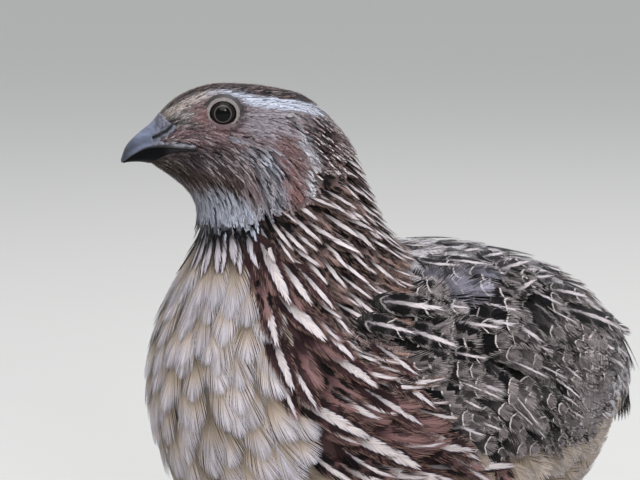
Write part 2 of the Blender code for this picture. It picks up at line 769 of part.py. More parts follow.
def build_foot(side, word, knuckle, down, skin, horn):
    """The foot: three toes ahead and one behind, on flat soles, with a claw on each."""
    stub = tube([knuckle, knuckle + down * 1.2, knuckle + down * 2.0], (2.2, 2.3, 1.2), 12, (down, down))
    foot = add_object(f"foot_{word}", new_mesh("foot", *stub), skin)
    toes = []
    for name, length, heading, radius in TOES:
        angle = math.radians(heading)
        ahead = np.array([math.cos(angle), side * math.sin(angle), 0.0])
        path, radii = toe_path(knuckle * (1, 1, 0), ahead, length, radius)
        toes.append(helper("toe", *tube(path, radii, 8)))
        root = path[-1] * (1, 1, 0) + ahead * GAP + (0, 0, CLAW_RADIUS + 0.15)
        bend = [root + ahead * CLAW_LENGTH * t + (0, 0, rise) for t, rise in CLAW_BEND]
        radii = CLAW_RADIUS * np.sqrt(np.linspace(1, 0.02, 2 * len(CLAW_BEND) - 1))
        claw = tube(smooth_rows(bend, 2), radii, 6, (ahead, None))
        add_object(f"claw_{word}_{name}", new_mesh("claw", *claw), horn)
    unite(foot, toes)
    floor = helper("floor", *box((-60, -60, -10), (60, 60, 0)))
    boolean(foot, floor, "DIFFERENCE", "MANIFOLD")
    discard(floor)
    keep_largest_surface(foot)


def box(low, high):
    """Vertices and faces of an upright box."""
    corners = [(x, y, z) for x in (low[0], high[0]) for y in (low[1], high[1]) for z in (low[2], high[2])]
    faces = [(0, 1, 3, 2), (4, 6, 7, 5), (0, 4, 5, 1), (2, 3, 7, 6), (0, 2, 6, 4), (1, 5, 7, 3)]
    return np.array(corners), faces


def grown_torso():
    """The torso a gap larger all round, for cutting what lies on it."""
    return helper("grown_torso", *loft([section(r, GAP) for r in trunk_rows(0, NECK_FROM, TORSO_STEPS)]))


def build_legs(skin, feathers, horn):
    """Both legs, each a thigh, a shank, a foot and four claws."""
    body = grown_torso()
    for side, word in ((1, "left"), (-1, "right")):
        hip, hock, ankle = (np.array(p) * (1, side, 1) for p in (HIP, HOCK, ANKLE))
        down = (ankle - hock) / np.linalg.norm(ankle - hock)
        joint = (hock - hip) / np.linalg.norm(hock - hip) + down
        joint /= np.linalg.norm(joint)
        build_thigh(word, hip, hock, joint, body, feathers)
        build_shank(word, hock, ankle, joint, skin)
        build_foot(side, word, ankle + down * GAP / 2, down, skin, horn)
    discard(body)


def join_close_points(mesh):
    """Joins points that the Booleans left almost in one place, which make sliver faces."""
    shape = bmesh.new()
    shape.from_mesh(mesh)
    bmesh.ops.triangulate(shape, faces=shape.faces)
    bmesh.ops.remove_doubles(shape, verts=shape.verts, dist=WELD * MM)
    bmesh.ops.dissolve_degenerate(shape, dist=WELD * MM / 2, edges=shape.edges)
    bmesh.ops.triangulate(shape, faces=shape.faces)
    shape.to_mesh(mesh)
    shape.free()


def centre_on_floor():
    """Moves every mesh so that the origin is under the middle of the bird's bounding box."""
    meshes = {obj.data for obj in bpy.context.scene.objects}
    points = np.array([v.co[:] for mesh in meshes for v in mesh.vertices])
    middle = (points.min(axis=0) + points.max(axis=0)) / 2
    for mesh in meshes:
        mesh.transform(Matrix.Translation((-middle[0], -middle[1], 0.0)))


def main():
    for obj in list(bpy.data.objects):
        bpy.data.objects.remove(obj)
    build_torso(material("breast and back feathers", (0.36, 0.27, 0.19), 0.85))
    build_neck(material("neck feathers", (0.30, 0.19, 0.12), 0.85))
    build_wings(material("wing feathers", (0.17, 0.13, 0.11), 0.75))
    build_tail(material("tail feathers", (0.24, 0.17, 0.12), 0.8))
    build_head(material("face feathers", (0.28, 0.19, 0.14), 0.85))
    build_bill(material("bill horn", (0.07, 0.07, 0.09), 0.4))
    build_eyes(material("eye", (0.015, 0.012, 0.01), 0.05))
    build_legs(
        material("leg scutes", (0.45, 0.28, 0.18), 0.55),
        material("thigh feathers", (0.42, 0.32, 0.22), 0.85),
        material("claw horn", (0.10, 0.07, 0.05), 0.4),
    )
    for obj in bpy.context.scene.objects:
        join_close_points(obj.data)
    centre_on_floor()


main()
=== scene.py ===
"""Life-size coturnix quail cock: the finished look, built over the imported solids.

Lengths in this file are millimetres unless a name says otherwise; MM turns them into metres.
The bird faces +X with its left side at +Y, and its feet stand on z = 0.
"""

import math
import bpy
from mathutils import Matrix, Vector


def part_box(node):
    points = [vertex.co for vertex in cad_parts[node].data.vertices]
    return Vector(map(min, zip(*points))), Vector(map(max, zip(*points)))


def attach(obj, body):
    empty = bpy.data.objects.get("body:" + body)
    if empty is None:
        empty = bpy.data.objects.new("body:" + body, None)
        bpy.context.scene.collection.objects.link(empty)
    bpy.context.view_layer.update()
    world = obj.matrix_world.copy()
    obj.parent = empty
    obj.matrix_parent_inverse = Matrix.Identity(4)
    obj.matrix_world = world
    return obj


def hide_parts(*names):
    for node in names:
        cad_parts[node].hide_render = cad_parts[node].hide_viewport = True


bl_info = {
    "name": "Coturnix Quail",
    "version": (1, 0, 0),
    "blender": (4, 5, 0),
    "location": "3D View > Sidebar > Quail",
    "description": "Builds the plumage, eyes, bill and feet of a life-size coturnix quail",
    "category": "Add Mesh",
}

import bpy
import numpy as np
from mathutils import Matrix, Vector

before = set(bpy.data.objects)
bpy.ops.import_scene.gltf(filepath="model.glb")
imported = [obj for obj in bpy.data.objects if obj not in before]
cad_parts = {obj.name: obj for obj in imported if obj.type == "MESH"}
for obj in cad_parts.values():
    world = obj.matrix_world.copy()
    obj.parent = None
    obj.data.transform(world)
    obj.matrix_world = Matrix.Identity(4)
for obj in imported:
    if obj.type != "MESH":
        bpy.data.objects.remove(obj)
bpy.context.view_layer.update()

MM = 0.001
SEED = 11

# The body's cross-sections, from the tail's end to the bill's tip. Each row is the back point's
# x and z, the belly point's x and z, the half width, the height share of the widest place and
# how far the head's turn has reached there.
TAIL_ROWS = (
    (-64.5, 67.0, -60.5, 60.0, 3.0, 0.50, 0.0),
    (-66.5, 73.5, -57.0, 58.0, 7.0, 0.50, 0.0),
    (-65.5, 81.0, -54.5, 56.5, 10.5, 0.50, 0.0),
    (-61.5, 88.5, -52.5, 55.5, 13.5, 0.50, 0.0),
)
TRUNK_ROWS = (
    (-55.0, 93.5, -51.0, 55.0, 15.5, 0.50, 0.0),
    (-46.0, 100.3, -40.0, 45.5, 23.0, 0.50, 0.0),
    (-31.0, 106.2, -22.0, 39.0, 29.0, 0.50, 0.0),
    (-14.0, 110.4, -1.0, 36.5, 32.5, 0.50, 0.0),
    (0.0, 112.0, 22.0, 37.5, 34.0, 0.49, 0.0),
    (8.0, 112.5, 44.0, 43.5, 34.5, 0.48, 0.0),
    (12.0, 114.0, 58.5, 57.0, 34.0, 0.46, 0.0),
    (14.5, 116.5, 65.5, 74.5, 31.5, 0.44, 0.0),
    (16.0, 119.5, 65.5, 91.0, 27.0, 0.44, 0.05),
    (17.5, 123.5, 60.5, 105.0, 22.0, 0.46, 0.25),
    (19.6, 129.5, 57.0, 113.5, 18.8, 0.48, 0.55),
    (22.4, 136.0, 56.0, 119.0, 16.6, 0.50, 0.80),
)
EYE_AT = (51.0, 143.5)
HEAD_ROWS = (
    (-23.6, -1.2, 5.2, -21.0, 14.8, 0.50, 0.95),
    (-18.6, 3.0, 6.0, -19.0, 13.2, 0.49, 1.0),
    (-12.0, 4.9, 7.2, -17.2, 11.6, 0.49, 1.0),
    (-5.0, 5.8, 9.2, -15.3, 10.2, 0.51, 1.0),
    (2.0, 5.8, 11.6, -13.5, 8.8, 0.52, 1.0),
    (8.0, 3.9, 13.6, -12.2, 7.1, 0.48, 1.0),
    (12.2, 0.8, 15.3, -11.3, 5.4, 0.43, 1.0),
    (14.9, -2.3, 17.0, -10.9, 4.0, 0.42, 1.0),
    (18.0, -4.8, 18.9, -10.8, 2.9, 0.40, 1.0),
    (20.5, -7.4, 20.4, -10.9, 1.7, 0.36, 1.0),
    (21.7, -10.3, 21.6, -11.2, 0.6, 0.40, 1.0),
)
ROUNDNESS = 2.15
HEAD_TURN = math.radians(-26.0)
TURN_AXIS_X = 34.0
TRUNK_FIRST = len(TAIL_ROWS)  # place of the trunk's first row in the joined table
HEAD_FIRST = TRUNK_FIRST + len(TRUNK_ROWS)

# Where the plumage ends at the bill, and the mouth's line, from the eyes: forward and up
FEATHER_EDGE = (
    (15.9, -24.0), (15.85, -11.1), (14.7, -10.2), (13.2, -9.2), (11.4, -8.5), (8.6, -8.15), (6.3, -7.9), (5.6, -7.5),
    (6.6, -6.9), (9.0, -6.3), (13.2, -6.05), (14.3, -5.75), (12.6, -4.9), (10.6, -3.3), (10.9, -2.3), (12.0, -1.7),
    (12.9, -1.0), (13.5, 0.2), (14.2, 14.0),
)
MOUTH_LINE = ((6.0, -7.6), (10.4, -7.3), (14.3, -7.2), (17.0, -7.8), (19.5, -9.2), (21.4, -10.7), (24.0, -12.0))

EYE_SIDE = 5.3
EYE_FORWARD = math.radians(12.0)
EYE_DENT = 1.1  # how far the face sinks to the lids
LIDS_OUT = 2.9  # where that hollow starts to rise, from the eye's axis
HOLLOW_OUT = 5.4  # and where it has ended


def joined_rows():
    """All cross-sections in one table, with the head's rows moved to the body's frame."""
    head = np.array(HEAD_ROWS)
    head[:, [0, 2]] += EYE_AT[0]
    head[:, [1, 3]] += EYE_AT[1]
    return np.vstack([TAIL_ROWS, TRUNK_ROWS, head])


ROWS = joined_rows()
LAST = len(ROWS) - 1.0


def curve_at(table, place):
    """Values of a table's columns on a smooth curve through its rows, at fractional places."""
    padded = np.vstack([2 * table[0] - table[1], table, 2 * table[-1] - table[-2]])
    place = np.clip(place, 0.0, len(table) - 1.000001)
    start = np.floor(place).astype(int)
    u = (place - start)[..., None]
    a, b, c, d = (padded[start + k] for k in range(4))
    return 0.5 * (2 * b + (c - a) * u + (2 * a - 5 * b + 4 * c - d) * u**2 + (3 * b - a - 3 * c + d) * u**3)


def smooth(value, low, high):
    """0 below low and 1 above high, with a soft step between."""
    t = np.clip((value - low) / (high - low), 0.0, 1.0)
    return t * t * (3 - 2 * t)


def head_turned(x, y, share):
    """Places in plan turned about the neck's axis by a share of the head's turn."""
    c, s = np.cos(HEAD_TURN * share), np.sin(HEAD_TURN * share)
    dx = x - TURN_AXIS_X
    return TURN_AXIS_X + c * dx - s * y, s * dx + c * y


def from_head(forward, side, up):
    """A place given from the eyes, in the body's frame."""
    x, y = head_turned(EYE_AT[0] + np.asarray(forward, float), np.asarray(side, float), 1.0)
    return np.stack([x, y, EYE_AT[1] + np.asarray(up, float) + 0 * x], axis=-1)


def to_head(points):
    """How far points lie forward, to the side and up from the eyes."""
    x, y = points[..., 0] - TURN_AXIS_X, points[..., 1]
    c, s = math.cos(HEAD_TURN), math.sin(HEAD_TURN)
    return TURN_AXIS_X + c * x + s * y - EYE_AT[0], c * y - s * x, points[..., 2] - EYE_AT[1]


def eye_axis(side):
    """Centre and outward direction of one eye; side is 1 for the left and -1 for the right."""
    centre = from_head(0.0, side * EYE_SIDE, 0.0)
    ahead = from_head(math.sin(EYE_FORWARD), side * (EYE_SIDE + math.cos(EYE_FORWARD)), 0.0)
    return centre, ahead - centre


def from_eye_axis(points):
    """Distance from the axis of the eye on the same side, and height along it."""
    across = to_head(points)[1]
    reach = np.full(points.shape[:-1], 99.0)
    height = np.zeros(points.shape[:-1])
    for side in (1, -1):
        centre, axis = eye_axis(side)
        gap = points - centre
        along = gap @ axis
        apart = np.linalg.norm(gap - along[..., None] * axis, axis=-1)
        near = across * side > 0
        reach = np.where(near, apart, reach)
        height = np.where(near, along, height)
    return reach, height


def eye_hollow(points):
    """Points of the face sunk round each eye, down to the lids."""
    across = to_head(points)[1]
    reach, _ = from_eye_axis(points)
    sunk = EYE_DENT * (1 - smooth(reach, LIDS_OUT, HOLLOW_OUT))
    left, right = eye_axis(1)[1], eye_axis(-1)[1]
    return points - sunk[..., None] * np.where((across > 0)[..., None], left, right)


def body(t, a, lift):
    """Points on the bird at row place t and angle a round from the back, lifted off the outline."""
    row = curve_at(ROWS, t)
    back, belly = row[..., 0:2], row[..., 2:4]
    middle = belly + row[..., 5:6] * (back - belly)
    tall = np.linalg.norm(back - belly, axis=-1)
    upward = (back - belly) / tall[..., None]
    above = tall * (1 - row[..., 5]) + lift
    below = tall * row[..., 5] + lift
    c, s = np.cos(a), np.sin(a)
    power = 2 / ROUNDNESS
    rise = np.sign(c) * np.abs(c) ** power * np.where(c > 0, above, below)
    out = np.sign(s) * np.abs(s) ** power * (row[..., 4] + lift)
    x, y = head_turned(middle[..., 0] + upward[..., 0] * rise, out, row[..., 6])
    points = np.stack([x, y, middle[..., 1] + upward[..., 1] * rise], axis=-1)
    if np.max(t) > HEAD_FIRST:
        points = eye_hollow(points)
    return points


def middle_x(t):
    """The x of the cross-section's middle at a row place."""
    row = curve_at(ROWS, t)
    return (row[..., 0] + row[..., 2]) / 2


# The folded wing lies over the body between these lines: x at mid height, the angles of its
# upper and lower edges and how far it stands out.
WING_SHAPE = np.array(
    (
        (44.0, 66.0, 74.0, 0.0),
        (40.0, 62.0, 78.0, 1.0),
        (35.0, 50.0, 86.0, 2.2),
        (25.0, 40.0, 94.0, 2.9),
        (10.0, 34.0, 99.0, 2.8),
        (-8.0, 32.0, 97.0, 2.2),
        (-26.0, 35.0, 90.0, 1.3),
        (-44.0, 44.0, 80.0, 0.0),
    )
)


def wing_swell(t, a):
    """How far the folded wing lifts the surface at a place."""
    x = middle_x(t)
    order = WING_SHAPE[::-1]
    upper, lower, thick = (np.interp(x, order[:, 0], order[:, k]) for k in (1, 2, 3))
    angle = np.abs(np.degrees(a))
    soft = 9.0
    return thick * smooth(angle, upper - soft, upper + soft) * (1 - smooth(angle, lower - soft, lower + soft))


# Seeded noise, the same on every run
NOISE = np.random.default_rng(SEED).random((256, 256))


def mottle(x, y, layer=0):
    """Soft noise between 0 and 1 over two coordinates, one cell to each whole number."""
    x, y = np.asarray(x, float) + 37.7 * layer, np.asarray(y, float) + 19.3 * layer
    i, j = np.floor(x).astype(int), np.floor(y).astype(int)
    u, v = smooth(x - i, 0, 1), smooth(y - j, 0, 1)
    corner = [[NOISE[(i + m) % 256, (j + n) % 256] for n in (0, 1)] for m in (0, 1)]
    low = corner[0][0] + (corner[1][0] - corner[0][0]) * u
    high = corner[0][1] + (corner[1][1] - corner[0][1]) * u
    return low + (high - low) * v


# Colours and sizes that a user would change


def linear(code):
    """The linear colour of an sRGB hex code."""
    parts = [int(code[i : i + 2], 16) / 255 for i in (1, 3, 5)]
    return tuple(p / 12.92 if p <= 0.04045 else ((p + 0.055) / 1.055) ** 2.4 for p in parts)


def colour(name, where, code):
    """A colour property with its name, a description and a default."""
    return bpy.props.FloatVectorProperty(
        name=name, description=where, subtype="COLOR", size=3, min=0, max=1, default=linear(code)
    )


def length(name, about, default, low=0.1, high=60.0):
    """A length property, in millimetres."""
    return bpy.props.FloatProperty(name=name, description=about, default=default, min=low, max=high)


def share(name, about, default):
    """A property between nothing and all."""
    return bpy.props.FloatProperty(name=name, description=about, default=default, min=0, max=1, subtype="FACTOR")


class QuailColours(bpy.types.PropertyGroup):
    """Colours of the plumage and of the bare parts."""

    cream: colour("Cream", "Shaft streaks", "#bfb5b4")
    white: colour("White", "Brow, collar and throat", "#adb1be")
    buff: colour("Buff", "Breast feathers' silky ends", "#bab3b9")
    ochre: colour("Ochre", "Warm bases of the breast feathers", "#a49382")
    belly: colour("Belly", "Pale belly and vent", "#a2978f")
    rufous: colour("Rufous", "Cheeks and neck", "#785b5a")
    tan: colour("Tan", "Brown of neck and shoulders", "#7d6763")
    maroon: colour("Maroon", "Flanks", "#452d30")
    russet: colour("Russet", "Warm edges of neck and shoulder feathers", "#8a6f64")
    umber: colour("Umber", "Dark brown of the nape and rump", "#473a3a")
    earth: colour("Earth", "Grey-brown of wings and rump", "#6c6464")
    ash: colour("Ash", "Grey of the back", "#b5b1b6")
    slate: colour("Slate", "Bluish grey of the coverts", "#76737f")
    soot: colour("Soot", "Black blotches and bars", "#0d0c0e")
    crown: colour("Crown", "Top of the head", "#3f373a")
    mauve: colour("Mauve", "Ear coverts", "#81797f")
    olive: colour("Olive", "Chin", "#4b3f37")
    horn: colour("Horn", "Upper bill", "#565c6e")
    dark_horn: colour("Dark horn", "Lower bill and tip", "#07080b")
    lid: colour("Lid", "Bare ring round the eye", "#8c8383")
    iris: colour("Iris", "Ring round the pupil", "#211c1b")
    leg: colour("Leg", "Scutes of shank and toes", "#b08a6e")
    claw: colour("Claw", "Horn of the claws", "#4a3a30")
    floor: colour("Floor", "Studio floor", "#c9c8c4")


class QuailSizes(bpy.types.PropertyGroup):
    """Sizes of the plumage and of the eyes."""

    coat_depth: length("Coat depth", "How far the skin lies under the body's outline", 2.2)
    face_depth: length("Face depth", "How far the skin lies under the face's outline", 0.45)
    eye_radius: length("Eye radius", "Radius of the eyeball", 3.9)
    eye_opening: length("Eye opening", "Radius of the opening between the lids", 2.75)
    pupil: length("Pupil", "Radius of the pupil", 1.6)
    feather_length: bpy.props.FloatProperty(
        name="Feather length", description="Scale of the body feathers' length", default=1.0, min=0.5, max=1.5
    )
    fray: share("Fray", "How loose the feathers' barbs are", 0.5)


# Shader building


def add(tree, kind, *inputs, output=0, **settings):
    """Adds a node, fills its inputs in order from sockets or plain values, and returns an output."""
    node = tree.nodes.new(kind)
    for key, value in settings.items():
        setattr(node, key, value)
    for socket, value in zip(node.inputs, inputs):
        if isinstance(value, bpy.types.NodeSocket):
            tree.links.new(value, socket)
        elif value is not None:
            socket.default_value = value
    return node.outputs[output]


def sums(tree, kind, *inputs):
    """A Math node of this kind."""
    return add(tree, "ShaderNodeMath", *inputs, operation=kind)


def step_up(tree, value, low, high):
    """0 below low and 1 above high, with a soft step between."""
    return add(tree, "ShaderNodeMapRange", value, low, high, 0.0, 1.0, interpolation_type="SMOOTHSTEP")


def mixed(tree, amount, first, second, blend="MIX"):
    """Two colours mixed by an amount."""
    node = tree.nodes.new("ShaderNodeMix")
    node.data_type, node.blend_type = "RGBA", blend
    for index, value in ((0, amount), (6, first), (7, second)):
        if isinstance(value, bpy.types.NodeSocket):
            tree.links.new(value, node.inputs[index])
        else:
            node.inputs[index].default_value = value
    return node.outputs[2]


def new_material(name, roughness, specular=0.35, sheen=0.0, coat=0.0, coat_roughness=0.1):
    """A material with a Principled shader, whose fixed numbers stand on its own sockets."""
    made = bpy.data.materials.new(name)
    made.use_nodes = True
    shader = made.node_tree.nodes["Principled BSDF"]
    fixed = {"Roughness": roughness, "Specular IOR Level": specular, "Sheen Weight": sheen, "Sheen Roughness": 0.4,
             "Coat Weight": coat, "Coat Roughness": coat_roughness}
    for socket, value in fixed.items():
        shader.inputs[socket].default_value = value
    return made, made.node_tree, shader


def attribute(tree, name, output="Color"):
    """One output of an attribute that the mesh carries."""
    node = tree.nodes.new("ShaderNodeAttribute")
    node.attribute_name = name
    return node.outputs[output]


def bumped(tree, shader, height, distance, strength=0.5):
    """Feeds a bump from a height to the shader; the distance is in metres."""
    made = add(tree, "ShaderNodeBump", strength, distance, None, height)
    tree.links.new(made, shader.inputs["Normal"])


BARS = 2.0  # bars on the length of a feather
BAR_PHASE = 0.71


def feather_material(name, roughness, sheen):
    """Feathers: a ground with shaft streak, blotches, bars, fine waves and rim, drawn on each vane."""
    made, tree, shader = new_material(name, roughness, 0.08, sheen)
    ground, wide = attribute(tree, "ground"), attribute(tree, "ground", "Alpha")
    streak, streak_share = attribute(tree, "streak"), attribute(tree, "streak", "Alpha")
    rim, rim_share = attribute(tree, "rim"), attribute(tree, "rim", "Alpha")
    marks, seed = attribute(tree, "marks"), attribute(tree, "marks", "Alpha")
    blotch, bars, waves = (add(tree, "ShaderNodeSeparateColor", marks, output=k) for k in range(3))
    barb = attribute(tree, "barb")
    out, chance, along = (add(tree, "ShaderNodeSeparateColor", barb, output=k) for k in range(3))
    size = attribute(tree, "barb", "Alpha")
    signed = sums(tree, "MULTIPLY_ADD", wide, 2.0, -1.0)
    aside = sums(tree, "ABSOLUTE", signed)
    # places on the vane in millimetres, moved by the feather's own seed
    down = sums(tree, "MULTIPLY", along, size)
    place = add(tree, "ShaderNodeCombineXYZ", signed, down, sums(tree, "MULTIPLY", seed, 97.0))
    grain = add(tree, "ShaderNodeTexNoise", place, None, 14.0, 3.0, 0.6)
    # fine wavy cross lines
    wave_place = add(tree, "ShaderNodeVectorMath", place, (0.9, 34.0, 1.0), operation="MULTIPLY")
    fine_wave = add(tree, "ShaderNodeTexNoise", wave_place, None, 1.6, 2.0, 0.6)
    wave = sums(tree, "MULTIPLY", step_up(tree, fine_wave, 0.50, 0.60), waves)
    body_colour = mixed(tree, wave, ground, mixed(tree, 0.55, ground, rim))
    dark_wave = sums(tree, "MULTIPLY", sums(tree, "SUBTRACT", 1.0, step_up(tree, fine_wave, 0.40, 0.50)), waves)
    body_colour = mixed(tree, sums(tree, "MULTIPLY", dark_wave, 0.75), body_colour, (*linear("#2c2626"), 1.0))
    # dark blotches beside the shaft, one nearer the tip and one higher
    for centre, reach in ((0.70, 0.17), (0.36, 0.15)):
        off = sums(tree, "MULTIPLY", sums(tree, "SUBTRACT", along, centre), 1 / reach)
        beside = sums(tree, "MULTIPLY", sums(tree, "SUBTRACT", aside, 0.50), 1 / 0.42)
        far = sums(tree, "SQRT", sums(tree, "ADD", sums(tree, "POWER", sums(tree, "ABSOLUTE", off), 2.0),
                                      sums(tree, "POWER", sums(tree, "ABSOLUTE", beside), 2.0)))
        far = sums(tree, "ADD", far, sums(tree, "MULTIPLY_ADD", grain, 1.2, -0.6))
        spot = sums(tree, "MULTIPLY", sums(tree, "SUBTRACT", 1.0, step_up(tree, far, 0.75, 1.0)), blotch)
        body_colour = mixed(tree, spot, body_colour, (*linear("#0d0a0b"), 1.0))
    # bars: a thin pale bracket curved round the shaft, with a dark block behind it
    broad = add(tree, "ShaderNodeTexNoise", place, None, 1.6, 1.0, 0.5)
    arc = sums(tree, "MULTIPLY_ADD", sums(tree, "POWER", aside, 2.0), -0.45, sums(tree, "MULTIPLY_ADD", along, BARS, BAR_PHASE))
    arc = sums(tree, "MULTIPLY_ADD", broad, 0.30, arc)
    half_step = sums(tree, "MULTIPLY", sums(tree, "GREATER_THAN", signed, 0.0), sums(tree, "GREATER_THAN", seed, 0.62))
    arc = sums(tree, "MULTIPLY_ADD", half_step, 0.3, arc)
    arc = sums(tree, "MULTIPLY_ADD", seed, 0.36, arc)
    turn = sums(tree, "FRACT", sums(tree, "MULTIPLY_ADD", grain, 0.06, sums(tree, "SUBTRACT", arc, 0.36)))
    block = sums(tree, "ADD", step_up(tree, turn, 0.52, 0.56), sums(tree, "LESS_THAN", turn, 0.03))
    block = sums(tree, "MINIMUM", block, 1.0)
    body_colour = mixed(tree, sums(tree, "MULTIPLY", block, bars), body_colour, (*linear("#0b090b"), 1.0))
    thin = sums(tree, "SUBTRACT", 1.0, step_up(tree, sums(tree, "ABSOLUTE", sums(tree, "SUBTRACT", turn, 0.065)), 0.022, 0.036))
    some = step_up(tree, broad, 0.38, 0.44)
    line = sums(tree, "MULTIPLY", sums(tree, "MULTIPLY", thin, some), sums(tree, "MINIMUM", sums(tree, "MULTIPLY", bars, 1.6), 1.0))
    body_colour = mixed(tree, line, body_colour, rim)
    # pale rim at the barbs' ends
    bracket = sums(tree, "MAXIMUM", sums(tree, "SUBTRACT", rim_share, 1.0), 0.0)
    plain = sums(tree, "MULTIPLY", rim_share, sums(tree, "LESS_THAN", rim_share, 1.001))
    edge = sums(tree, "MULTIPLY", step_up(tree, sums(tree, "MULTIPLY_ADD", chance, 0.12, out), 0.80, 0.92), plain)
    body_colour = mixed(tree, edge, body_colour, rim)
    # or, where the strength is over 1, a thin pale bracket inside a dark edge
    dark_edge = sums(tree, "MULTIPLY", step_up(tree, out, 0.80, 0.84), sums(tree, "GREATER_THAN", bracket, 0.0))
    body_colour = mixed(tree, sums(tree, "MULTIPLY", dark_edge, 0.8), body_colour, (*linear("#1f1b1d"), 1.0))
    inset = sums(tree, "ABSOLUTE", sums(tree, "SUBTRACT", sums(tree, "MULTIPLY_ADD", chance, 0.03, out), 0.79))
    ring = sums(tree, "MULTIPLY", sums(tree, "SUBTRACT", 1.0, step_up(tree, inset, 0.04, 0.07)), bracket)
    ring = sums(tree, "MULTIPLY", ring, step_up(tree, broad, 0.36, 0.44))
    body_colour = mixed(tree, sums(tree, "MINIMUM", sums(tree, "MULTIPLY", ring, 1.6), 1.0), body_colour, rim)
    # shaft streak, widest past the middle and pointed at both ends
    taper = sums(tree, "MULTIPLY", sums(tree, "SUBTRACT", along, 0.58), 1 / 0.45)
    taper = sums(tree, "SUBTRACT", 1.0, sums(tree, "MULTIPLY", taper, taper))
    half = sums(tree, "MULTIPLY", sums(tree, "MAXIMUM", taper, 0.0), streak_share)
    gap = sums(tree, "SUBTRACT", aside, sums(tree, "MULTIPLY_ADD", chance, 0.09, sums(tree, "SUBTRACT", half, 0.04)))
    on = sums(tree, "MULTIPLY", sums(tree, "SUBTRACT", 1.0, step_up(tree, gap, -0.04, 0.03)),
              step_up(tree, half, 0.0, 0.02))
    # its margins are colder than its middle, with a darker thread between
    margin = step_up(tree, gap, -0.12, -0.05)
    streak_tone = mixed(tree, sums(tree, "MULTIPLY", margin, 0.4), streak, (*linear("#a9a4b2"), 1.0))
    beside = sums(tree, "MULTIPLY", sums(tree, "SUBTRACT", 1.0, step_up(tree, gap, 0.06, 0.22)), step_up(tree, half, 0.06, 0.12))
    body_colour = mixed(tree, sums(tree, "MULTIPLY", beside, 0.55), body_colour, (*linear("#1e1518"), 1.0))
    body_colour = mixed(tree, on, body_colour, streak_tone)
    # each barb a little lighter or darker, and painted shade that darkens the vane towards its root, where the feathers
    # above cover it
    shade = sums(tree, "MULTIPLY", sums(tree, "MULTIPLY_ADD", chance, 0.40, 0.77),
                 sums(tree, "MULTIPLY_ADD", step_up(tree, along, 0.25, 0.66), 0.6, 0.4))
    grey = add(tree, "ShaderNodeCombineColor", shade, shade, shade)
    tree.links.new(mixed(tree, 1.0, body_colour, grey, "MULTIPLY"), shader.inputs["Base Color"])
    bumped(tree, shader, grain, 0.0002, 0.25)
    return made


def skin_material(name):
    """Downy skin under the feathers, with the coat's colours on it, darkened as painted shade."""
    made, tree, shader = new_material(name, 0.9, 0.15)
    place = add(tree, "ShaderNodeTexCoord", output=3)
    down = add(tree, "ShaderNodeTexNoise", place, None, 1400.0, 3.0, 0.6)
    level = sums(tree, "MULTIPLY_ADD", down, 0.5, 0.7)
    grey = add(tree, "ShaderNodeCombineColor", level, level, level)
    tree.links.new(mixed(tree, 1.0, attribute(tree, "ground"), grey, "MULTIPLY"), shader.inputs["Base Color"])
    bumped(tree, shader, down, 0.0004, 0.6)
    return made


def horn_material(name, roughness, grain_scale=900.0, depth=0.00008, coat=0.0, gloss=0.4):
    """Horn, bare skin or scales: the mesh's own colours with fine grain and soft gloss."""
    made, tree, shader = new_material(name, roughness, gloss, 0.0, coat, 0.2)
    place = add(tree, "ShaderNodeTexCoord", output=3)
    grain = add(tree, "ShaderNodeTexNoise", place, None, grain_scale, 4.0, 0.6)
    level = sums(tree, "MULTIPLY_ADD", grain, 0.36, 0.82)
    grey = add(tree, "ShaderNodeCombineColor", level, level, level)
    tree.links.new(mixed(tree, 1.0, attribute(tree, "ground"), grey, "MULTIPLY"), shader.inputs["Base Color"])
    bumped(tree, shader, grain, depth, 0.5)
    return made


def plain_material(name, tone, roughness, grain_scale, depth, variation=0.3, coat=0.0):
    """One colour with fine grain in its tone and surface."""
    made, tree, shader = new_material(name, roughness, 0.4, 0.0, coat, 0.2)
    place = add(tree, "ShaderNodeTexCoord", output=3)
    grain = add(tree, "ShaderNodeTexNoise", place, None, grain_scale, 4.0, 0.6)
    level = sums(tree, "MULTIPLY_ADD", grain, variation, 1 - variation / 2)
    grey = add(tree, "ShaderNodeCombineColor", level, level, level)
    tree.links.new(mixed(tree, 1.0, (*tone, 1.0), grey, "MULTIPLY"), shader.inputs["Base Color"])
    bumped(tree, shader, grain, depth, 0.5)
    return made


def eye_material(name, pupil_rim, iris):
    """A wet eye: black pupil, a thin lighter ring and the iris, by distance from the eye's middle."""
    made, tree, shader = new_material(name, 0.04, 0.14)
    reach = attribute(tree, "reach", "Fac")
    grain = add(tree, "ShaderNodeTexNoise", attribute(tree, "rays", "Vector"), None, 9.0, 3.0, 0.6)
    ring = mixed(tree, sums(tree, "MULTIPLY_ADD", grain, 0.8, 0.1), (*linear("#17120f"), 1.0), (*iris, 1.0))
    lit = sums(tree, "SUBTRACT", 1.0, step_up(tree, sums(tree, "ABSOLUTE", sums(tree, "SUBTRACT", reach, pupil_rim + 0.18)), 0.05, 0.16))
    ring = mixed(tree, sums(tree, "MULTIPLY", lit, 0.38), ring, (*linear("#75706e"), 1.0))
    inside = sums(tree, "SUBTRACT", 1.0, step_up(tree, reach, pupil_rim - 0.05, pupil_rim + 0.05))
    whole = mixed(tree, inside, ring, (*linear("#040405"), 1.0))
    outer = step_up(tree, reach, 2.35, 2.7)
    tree.links.new(mixed(tree, outer, whole, (*linear("#060505"), 1.0)), shader.inputs["Base Color"])
    return made


# Meshes from arrays


